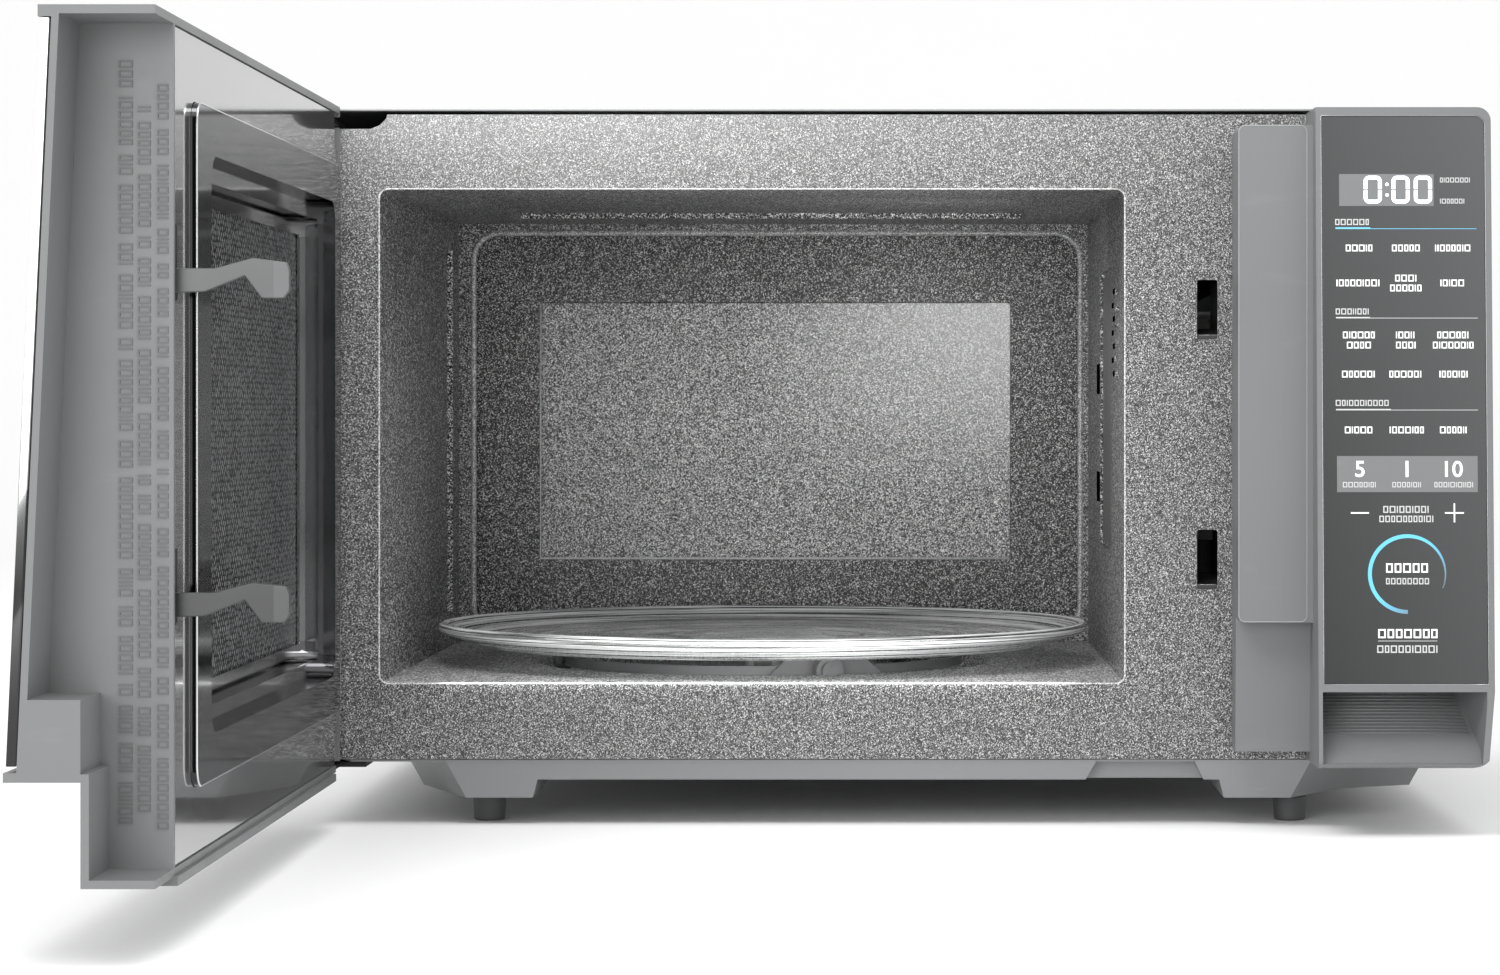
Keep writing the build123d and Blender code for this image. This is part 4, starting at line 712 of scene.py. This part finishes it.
# ---- cabinet details ----
def cabinet_beads(looks):
    """Painted highlights: pale enamel tubes along the rolled edge of the cavity mouth and of the rear wall's
    pressed steps.

    The inner step only catches the light along its left side and its bottom.
    """
    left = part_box("cavity_left_wall")[1].x
    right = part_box("cavity_right_wall")[0].x
    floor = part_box("cavity_floor")[1].z
    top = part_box("cavity_ceiling")[0].z
    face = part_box("front_plate")[0].y
    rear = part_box("cavity_back")[0].y
    # each loop is a pale enamel tube, a painted highlight
    loops = (
        ("mouth_bead", (left, right, floor, top), 4.0, face + 0.25 * MM, 0.42, "highlight_enamel"),
        ("outer_step_bead", (left + 7.8 * MM, right - 4.1 * MM, floor + 5.0 * MM, top - 4.7 * MM), 14.0,
         rear + 0.8 * MM, 1.5, "step_highlight_enamel"),
    )
    for name, (x0, x1, z0, z1), corner, y, radius, look in loops:
        outline = rounded(x0, x1, z0, z1, corner * MM, 6)
        points = dense_loop(outline, 12 * MM, lambda x, z: Vector((x, y, z)))
        add_bead(name, points, radius, True, looks[look], "cabinet", 12)
    step_y = rear + 9.9 * MM
    corners = ((left + 42.3 * MM, top - 41.6 * MM), (left + 42.3 * MM, floor + 43.5 * MM),
               (right - 41.2 * MM, floor + 43.5 * MM))
    points = [Vector((x, step_y, z)) for x, z in corners]
    add_bead("inner_step_highlight", points, 0.65, False, looks["edge_highlight_enamel"], "cabinet")


def glass_turntable(looks):
    """Turntable plate: flat floor with low rings, flared rim with a rolled lip, and drive lugs."""
    low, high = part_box("glass_plate")
    centre = (low + high) / 2
    under = high.z - 11.4 * MM
    top = under + 4.2 * MM
    rim = ((137, 0.4), (142, 2.0), (147, 3.9), (152, 5.6), (155.5, 6.7), (156.9, 7.6), (157.5, 9.2),
           (157.1, 10.6), (156.0, 11.3), (154.6, 11.2), (153.2, 10.4), (151.6, 9.2), (148.5, 8.1),
           (144.0, 6.9), (138.5, 5.3))
    low_ring = ((1.8, 0.0), (1.1, 0.35), (0.0, 0.75), (-1.1, 0.35), (-1.8, 0.0))
    profile = [(0.0, under)]
    profile += [(r * MM, under) for r in (20, 60, 100, 134)]
    profile += [(r * MM, under + lift * MM) for r, lift in rim]
    profile.append((134 * MM, top))
    for ring in (128, 122, 98, 64, 30):
        profile += [((ring + step) * MM, top + lift * MM) for step, lift in low_ring]
    profile.append((0.0, top))
    turns = 224

    def build(form):
        rings = []
        for radius, z in profile:
            if radius == 0.0:
                rings.append([form.verts.new((centre.x, centre.y, z))])
                continue
            rings.append([
                form.verts.new((centre.x + radius * math.cos(a), centre.y + radius * math.sin(a), z))
                for a in (2 * math.pi * k / turns for k in range(turns))
            ])
        for first, second in zip(rings, rings[1:]):
            for k in range(turns):
                if len(first) == 1:
                    form.faces.new((first[0], second[k], second[k - 1]))
                elif len(second) == 1:
                    form.faces.new((first[k - 1], first[k], second[0]))
                else:
                    form.faces.new((first[k - 1], first[k], second[k], second[k - 1]))
        for k in range(3):
            a = math.radians(90 + 120 * k)
            middle = Vector((centre.x + 19 * MM * math.cos(a), centre.y + 19 * MM * math.sin(a), 0.0))
            outline = [(middle.x + 4.2 * MM * math.cos(b), middle.y + 4.2 * MM * math.sin(b))
                       for b in (2 * math.pi * j / 20 for j in range(20))]
            add_plate(form, outline, lambda x, y: (x, y, low.z + 0.05 * MM), lambda x, y: (x, y, under))

    mesh = mesh_of("turntable_glass", build)
    piece = add_piece("turntable_glass", mesh, looks["plate_glass"], "plate")
    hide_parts("glass_plate")


# ---- control panel details ----
PANEL_LOW, PANEL_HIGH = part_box("panel_glass")
PANEL_GLASS_THICK = 1.2 * MM


def panel_face(lift):
    """Function from (x, z) in millimetres to the touch face, lifted off it by that much."""
    top_y = PANEL_HIGH.y - PANEL_GLASS_THICK
    slope = (top_y - PANEL_LOW.y) / (PANEL_HIGH.z - PANEL_LOW.z)

    def place(x, z):
        return Vector((x * MM, PANEL_LOW.y + slope * (z * MM - PANEL_LOW.z) - lift * MM, z * MM))

    return place


def add_print(form, outline, lift=0.10):
    """A printed mark on the touch face, as a thin raised solid."""
    add_plate(form, outline, panel_face(lift), panel_face(-0.02))


def bar(x0, x1, z0, z1):
    """Outline of a plain rectangle."""
    return [(x0, z0), (x1, z0), (x1, z1), (x0, z1)]


def zero_halves(x, z, width, height):
    """A rounded clock zero, split at mid height into its upper and lower half."""
    thick = 1.55
    corner = 2.3
    split = 0.28
    halves = []
    for side in (1, -1):
        middle = z + height / 2
        edge = middle + side * height / 2
        outline = []
        for radius, inset in ((corner, 0.0), (corner - thick, thick)):
            arc = []
            for RING_X, start in ((x + width - corner, 0), (x + corner, 90)):
                for k in range(7):
                    a = math.radians(start + 15 * k)
                    arc.append((RING_X + radius * math.cos(a),
                                edge + side * (radius * math.sin(a) - corner)))
            right = (x + width - inset, middle + side * split)
            left = (x + inset, middle + side * split)
            points = [right] + arc + [left]
            outline += points if not inset else points[::-1]
        halves.append(outline if side > 0 else outline[::-1])
    return halves


def words(x, z, width, height, seed):
    """Stand-in for a caption: a row of small open boxes and posts, centred at (x, z)."""
    pick = random.Random(seed)
    outlines = []
    line = height * 0.17
    place = x - width / 2
    end = x + width / 2
    low, high = z - height / 2, z + height / 2
    while place + line < end:
        size = min(height * pick.choice((0.17, 0.6, 0.72, 0.72, 0.84)), end - place)
        outlines.append(bar(place, place + line, low, high))
        if size > 3 * line:
            outlines.append(bar(place + size - line, place + size, low, high))
            outlines.append(bar(place + line, place + size - line, low, low + line))
            outlines.append(bar(place + line, place + size - line, high - line, high))
        place += size + height * 0.2
    return outlines


def panel_prints(looks):
    """All marks of the touch face, each group in its own brightness."""
    white = []
    captions = (
        (203.9, 255.6, 11.5), (224.3, 255.6, 12.2), (244.7, 255.6, 15.6),
        (203.8, 240.4, 19.6), (224.2, 242.5, 9.4), (224.1, 238.2, 13.6), (244.6, 240.4, 11.0),
        (203.6, 217.8, 13.8), (203.6, 213.4, 10.4), (224.1, 217.8, 8.8), (224.1, 213.4, 8.8),
        (244.6, 217.8, 14.0), (244.6, 213.4, 17.8), (203.5, 200.8, 14.6), (224.1, 200.8, 14.8),
        (244.6, 200.8, 12.4), (203.4, 176.6, 12.2), (224.1, 176.6, 14.8), (244.4, 176.6, 11.8),
    )
    for index, (x, z, width) in enumerate(captions):
        white += words(x, z, width, 2.9, 40 + index)
    white += words(224.0, 116.9, 18.4, 4.0, 80) + words(224.0, 88.6, 25.6, 3.9, 81)
    white.append(bar(199.7, 207.5, 140.4, 141.0))
    white.append(bar(240.4, 248.6, 140.4, 141.0))
    white.append(bar(244.2, 244.8, 141.0, 144.8))
    white.append(bar(244.2, 244.8, 136.6, 140.4))
    dim = words(246.0, 285.2, 13.5, 2.1, 90) + words(244.8, 276.0, 11.2, 2.1, 91)
    dim += words(200.9, 266.9, 14.6, 2.6, 92) + words(200.9, 228.0, 14.6, 2.6, 93)
    dim += words(205.2, 188.3, 23.6, 2.6, 94) + words(203.7, 152.9, 14.8, 2.3, 95)
    dim += words(224.1, 152.9, 12.8, 2.3, 96) + words(244.4, 152.9, 17.0, 2.3, 97)
    dim += words(224.0, 142.2, 20.6, 3.0, 98) + words(224.0, 138.1, 24.0, 2.8, 99)
    dim += words(224.0, 111.2, 18.6, 2.7, 100) + words(224.0, 81.9, 26.6, 3.2, 101)
    dim += [bar(193.7, 255.3, 225.0, 225.25), bar(193.7, 208.5, 225.25, 225.6)]
    dim += [bar(193.5, 255.0, 185.1, 185.35), bar(193.5, 217.3, 185.35, 185.7)]
    dim.append(bar(211.1, 236.7, 85.3, 85.55))
    blue = [bar(193.7, 254.9, 263.85, 264.1), bar(193.7, 208.8, 264.1, 264.6)]
    for name, outlines, look in (("print_white", white, "print_white"), ("print_dim", dim, "print_dim"),
                                 ("print_blue", blue, "print_blue")):
        def build(form, outlines=outlines):
            for outline in outlines:
                add_print(form, outline)
        add_piece(name, mesh_of(name, build), looks[look], "cabinet", False)

    def build_windows(form):
        add_print(form, bar(195.4, 236.5, 273.9, 287.8), 0.04)
        add_print(form, bar(193.8, 254.7, 149.7, 165.3), 0.04)
    add_piece("panel_windows", mesh_of("panel_windows", build_windows), looks["window_film"], "cabinet",
              False)


def clock_digits(looks):
    """Lit clock reading of zeros, with its colon and a soft halo behind."""
    strokes = []
    halos = []
    for x in (206.1, 218.2, 227.9):
        strokes += zero_halves(x, 275.0, 7.8, 12.0)
        halos.append(rounded(x - 0.7, x + 8.5, 274.3, 287.7, 2.9, 6))
    for z in (278.7, 283.3):
        strokes.append(rounded(215.5, 216.9, z - 0.7, z + 0.7, 0.7, 4))

    def build(form):
        for outline in strokes:
            add_print(form, outline, 0.16)

    def build_halo(form):
        for outline in halos:
            add_print(form, outline, 0.07)

    add_piece("clock_halo", mesh_of("clock_halo", build_halo), looks["halo"], "cabinet", False)
    add_piece("clock_digits", mesh_of("clock_digits", build), looks["display"], "cabinet", False)


def dial_digits(looks):
    """Numbers of the quick keys."""
    for name, text, x in (("key_five", "5", 203.7), ("key_one", "1", 224.1), ("key_ten", "10", 244.4)):
        curve = bpy.data.curves.new(name, "FONT")
        curve.body = text
        curve.size = 9.6
        curve.align_x = "CENTER"
        curve.align_y = "BOTTOM"
        curve.resolution_u = 6
        curve.offset = 0.12
        holder = bpy.data.objects.new(name + "_text", curve)
        SCENE.collection.objects.link(holder)
        flat = bpy.data.meshes.new_from_object(holder.evaluated_get(bpy.context.evaluated_depsgraph_get()))
        bpy.data.objects.remove(holder)
        form = bmesh.new()
        form.from_mesh(flat)
        bmesh.ops.remove_doubles(form, verts=form.verts, dist=0.001)
        low = min(v.co.y for v in form.verts)
        tall = max(v.co.y for v in form.verts) - low
        middle = (min(v.co.x for v in form.verts) + max(v.co.x for v in form.verts)) / 2
        gain = 7.0 / tall
        flat_faces = list(form.faces)
        raised = bmesh.ops.extrude_face_region(form, geom=flat_faces, use_keep_orig=True)["geom"]
        top_verts = {v for v in raised if isinstance(v, bmesh.types.BMVert)}
        front = panel_face(0.12)
        back = panel_face(-0.02)
        for vert in form.verts:
            place = front if vert in top_verts else back
            vert.co = place(x + (vert.co.x - middle) * gain, 156.2 + (vert.co.y - low) * gain)
        bmesh.ops.recalc_face_normals(form, faces=form.faces)
        mesh = bpy.data.meshes.new(name)
        form.to_mesh(mesh)
        form.free()
        add_piece(name, mesh, looks["print_white"], "cabinet", False)


def start_ring(looks):
    """Blue ring round the start key: square end at the bottom, fading away past the right-hand side."""
    outer, inner = 17.2, 15.5
    steps = 150
    sweep = 292.0

    def build(form):
        front = panel_face(0.12)
        back = panel_face(-0.02)
        rings = []
        for k in range(steps + 1):
            a = math.radians(-90 - sweep * k / steps)
            narrow = 1.0 if k < steps * 0.6 else 1.0 - 0.75 * (k - steps * 0.6) / (steps * 0.4)
            middle = (outer + inner) / 2
            half = (outer - inner) / 2 * narrow
            rings.append([
                form.verts.new(place(RING_X + r * math.cos(a), RING_Z + r * math.sin(a)))
                for place, r in ((front, middle + half), (front, middle - half),
                                 (back, middle - half), (back, middle + half))
            ])
        form.faces.new(rings[0])
        form.faces.new(rings[-1][::-1])
        for first, second in zip(rings, rings[1:]):
            for k in range(4):
                form.faces.new((first[k], first[k - 1], second[k - 1], second[k]))

    add_piece("start_ring", mesh_of("start_ring", build), looks["ring_blue"], "cabinet", False)


def ring_blue_look():
    """Cyan print that fades to the touch face's grey in the lower right quarter."""
    look = Look("ring_blue", (0.10, 0.42, 0.62), 0.4, 0.0, Emission_Strength=0.35)
    axes = look.axes()
    x = look.math("SUBTRACT", axes["X"], RING_X * MM)
    z = look.math("SUBTRACT", axes["Z"], RING_Z * MM)
    fade = look.math("SUBTRACT", look.math("MULTIPLY", x, 0.75), look.math("MULTIPLY", z, 0.66))
    amount = look.scale_to(fade, 0.0, 1.0, -2.0 * MM, 16.5 * MM)
    shade = look.blend(amount, look.toned(1.0), (0.13, 0.14, 0.145, 1.0))
    look.put(look.shader, "Base Color", shade)
    dark = look.blend(amount, look.toned(1.0), (0.0, 0.0, 0.0, 1.0))
    look.put(look.shader, "Emission Color", dark)
    look.bump(look.noise(400.0, 2.0), 0.02, 0.0002)
    return look


def bezel_line(looks):
    """Thin bright bead between the touch face and its surround."""
    x0, x1 = PANEL_LOW.x / MM - 0.15, PANEL_HIGH.x / MM + 0.15
    z0, z1 = PANEL_LOW.z / MM - 0.15, PANEL_HIGH.z / MM + 0.15
    corner = 4.65
    outline = [(x0, z1), (x0, z0), (x1, z0)]
    for step in range(9):
        a = math.radians(90 * step / 8)
        outline.append((x1 - corner + corner * math.cos(a), z1 - corner + corner * math.sin(a)))
    points = dense_loop(outline, 8.0, panel_face(0.12))
    add_bead("bezel_line", points, 0.2, True, looks["bezel_metal"], "cabinet")


def strip_edge_highlight(looks):
    """Painted highlight: a soft pale plastic line round the raised strip's front face."""
    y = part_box("front_plate")[0].y - 31.0 * MM
    outline = rounded(152.8, 182.6, 92.6, 309.7, 2.8, 6)
    points = dense_loop(outline, 10.0, lambda x, z: Vector((x * MM, y + 0.05 * MM, z * MM)))
    add_bead("strip_edge_highlight", points, 0.22, True, looks["highlight_plastic"], "cabinet")


def scoop_ribs(looks):
    """Fine level ribs on the upper part of the finger scoop."""
    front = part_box("front_plate")[0].y
    out_low, z_low = 50.3, 33.0
    out_high, z_high = 18.0, 63.4
    x0 = 188.0

    def build(form):
        for row in range(14):
            z = 62.2 - 1.35 * row
            out = out_low + (out_high - out_low) * (z - z_low) / (z_high - z_low)
            y = front - out * MM
            x1 = 256.6 - 9.5 * (52.9 - out) / 34.9
            points = [Vector((x * MM, y + 0.02 * MM, z * MM)) for x in (x0, (x0 + x1) / 2, x1)]
            add_tube(form, points, 0.38 * MM, False, 8)

    add_piece("scoop_ribs", mesh_of("scoop_ribs", build), looks["grey_plastic"], "cabinet")


# ---- door details ----


def door_point(x, z, out):
    """A point of the open door, from its place on the closed door in millimetres."""
    return Vector((DOOR_PLANE - out * MM, -(x + HINGE_SUM) * MM, z * MM))


def door_beads(looks):
    """Painted highlight along the edge of the sealing land: a pale steel tube."""
    outline = rounded(-246.0, 113.1, 52.7, 292.8, 8.0, 8)
    points = dense_loop(outline, 10.0, lambda x, z: door_point(x, z, 0.85))
    add_bead("land_edge_highlight", points, 0.45, True, looks["land_highlight_steel"], "door")


def relief_marks(looks):
    """Three upright lines of low moulded boxes on the door's end wall, in place of its lettering, in a darker
    grey than the wall as painted shade.
    """
    pick = random.Random(7)
    face = 150.3
    line = 0.55
    columns = ((16.1, 20.9, 44.0, 304.0), (10.0, 14.4, 48.0, 290.0), (4.0, 7.8, 42.0, 296.0))

    def box(form, out0, out1, z0, z1):
        add_plate(form, bar(out0, out1, z0, z1),
                  lambda out, height: door_point(face + 0.45, height, out),
                  lambda out, height: door_point(face - 0.05, height, out))

    def build(form):
        for out0, out1, z0, z1 in columns:
            z = z0
            while z < z1:
                for _ in range(pick.randint(2, 9)):
                    size = pick.choice((line, 2.1, 2.5, 2.5))
                    if z + size > z1:
                        break
                    box(form, out0, out1, z, z + line)
                    if size > line:
                        box(form, out0, out1, z + size - line, z + size)
                        box(form, out0, out0 + line, z + line, z + size - line)
                        box(form, out1 - line, out1, z + line, z + size - line)
                    z += size + 0.8
                z += 2.6

    add_piece("relief_marks", mesh_of("relief_marks", build), looks["relief"], "door", False)


def slot_ledge_highlights(looks):
    """Painted highlight: a pale enamel bar for the folded ledge seen through each latch slot."""
    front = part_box("front_plate")[0].y

    def build(form):
        for z in (218.4, 107.2):
            points = [Vector((x * MM, front + 1.9 * MM, z * MM)) for x in (137.1, 141.4, 145.8)]
            add_tube(form, points, 0.4 * MM, False, 8)

    mesh = mesh_of("slot_ledge_highlights", build)
    add_piece("slot_ledge_highlights", mesh, looks["highlight_enamel"], "cabinet")


def wall_slot_shade(looks):
    """Painted shade in the openings of the right cavity wall: flat black plates in two steam slots and the
    louvres in front of the lamp.
    """
    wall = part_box("cavity_right_wall")[0].x
    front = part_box("front_plate")[0].y

    def slot(form, y0, y1, z0, z1):
        add_plate(form, bar(y0, y1, z0, z1),
                  lambda y, z: (wall - 0.15 * MM, front + y * MM, z * MM),
                  lambda y, z: (wall + 0.3 * MM, front + y * MM, z * MM))

    def build(form):
        for z in (139.7, 193.5):
            slot(form, 208.0, 236.0, z, z + 15.0)
        for row in range(7):
            start = 78.0 + 9.0 * (row % 2)
            slot(form, start, start + 15.0, 201.0 + 6.4 * row, 203.6 + 6.4 * row)

    mesh = mesh_of("wall_slot_shade", build)
    add_piece("wall_slot_shade", mesh, looks["painted_shade_black"], "cabinet", False)


def latch_coil(looks):
    """Return spring of the latch bar, as a still coil of wire in place of the latch_spring node."""
    low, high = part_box("latch_spring")
    centre = (low + high) / 2
    wire = 0.5 * MM
    ring = (high.x - low.x) / 2 - wire
    turns, steps_a_turn = 7, 24
    steps = steps_a_turn * turns

    def build(form):
        points = []
        for step in range(steps + 1):
            angle = 2 * math.pi * turns * step / steps
            rise = low.z + wire + (high.z - low.z - 2 * wire) * step / steps
            across = centre.x + ring * math.cos(angle)
            points.append(Vector((across, centre.y + ring * math.sin(angle), rise)))
        add_tube(form, points, wire, False, 10)

    mesh = mesh_of("latch_coil", build)
    mesh.materials.append(looks["shaft_steel"])
    for polygon in mesh.polygons:
        polygon.use_smooth = True
    piece = bpy.data.objects.new("latch_coil", mesh)
    SCENE.collection.objects.link(piece)
    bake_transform(piece)
    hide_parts("latch_spring")


def glass_gasket(looks):
    """Black adhesive line between the mirror glass and the door frame."""

    def build(form):
        outline = rounded(-257.6, 183.7, 66.9, 314.7, 1.0, 2)
        inner = rounded(-254.6, 180.7, 69.9, 311.7, 1.0, 2)

        def place(lift):
            def at(x, z):
                out = GLASS_OUT_BOTTOM + GLASS_SLOPE * (z - GLASS_BOTTOM) - GLASS_THICK - lift
                return door_point(x, z, out)
            return at
        rings = []
        for points, lift in ((outline, 0.0), (inner, 0.0), (inner, 0.19), (outline, 0.19)):
            rings.append([form.verts.new(place(lift)(x, z)) for x, z in points])
        for first, second in zip(rings, rings[1:] + rings[:1]):
            for k in range(len(outline)):
                form.faces.new((first[k], first[k - 1], second[k - 1], second[k]))

    mesh = mesh_of("glass_gasket", build)
    add_piece("glass_gasket", mesh, looks["black_plastic"], "door", False)


# ---- scene ----
def dress_nodes(looks):
    """Give every CAD node its finish, and soften its edges."""
    slots = {part["node"]: part["material_slot"] for part in frame["record"]["subparts"]}
    fine = {"latch_spring", "cavity_lamp", "feet", "turntable_coupler", "fan_blades"}
    for node, piece in NODES.items():
        if not piece.data.materials:
            piece.data.materials.append(None)
        look = looks[slots[node]]
        if node == "cavity_back":
            look = looks["rear_enamel"]
        elif node == "front_plate":
            look = looks["front_enamel"]
        elif node == "cavity_floor":
            look = looks["floor_painted_light_enamel"]
        elif node.startswith("cavity") and slots[node] == "speckle_enamel":
            look = looks["cavity_enamel"]
        for index in range(len(piece.data.materials)):
            piece.data.materials[index] = look
        bevel = 0.8 * MM if node == "door_frame" else 0.35 * MM
        shade_smooth(piece, 0.0 if node in fine or "screws" in node else bevel)


def main():
    """Build the whole scene."""
    looks = {look.name: look.material for look in make_looks() + detail_looks()}
    make_camera()
    make_studio()
    dress_nodes(looks)
    cabinet_beads(looks)
    glass_turntable(looks)
    panel_prints(looks)
    clock_digits(looks)
    dial_digits(looks)
    start_ring(looks)
    bezel_line(looks)
    strip_edge_highlight(looks)
    scoop_ribs(looks)
    door_beads(looks)
    relief_marks(looks)
    slot_ledge_highlights(looks)
    wall_slot_shade(looks)
    latch_coil(looks)
    glass_gasket(looks)
    bpy.context.view_layer.update()


main()
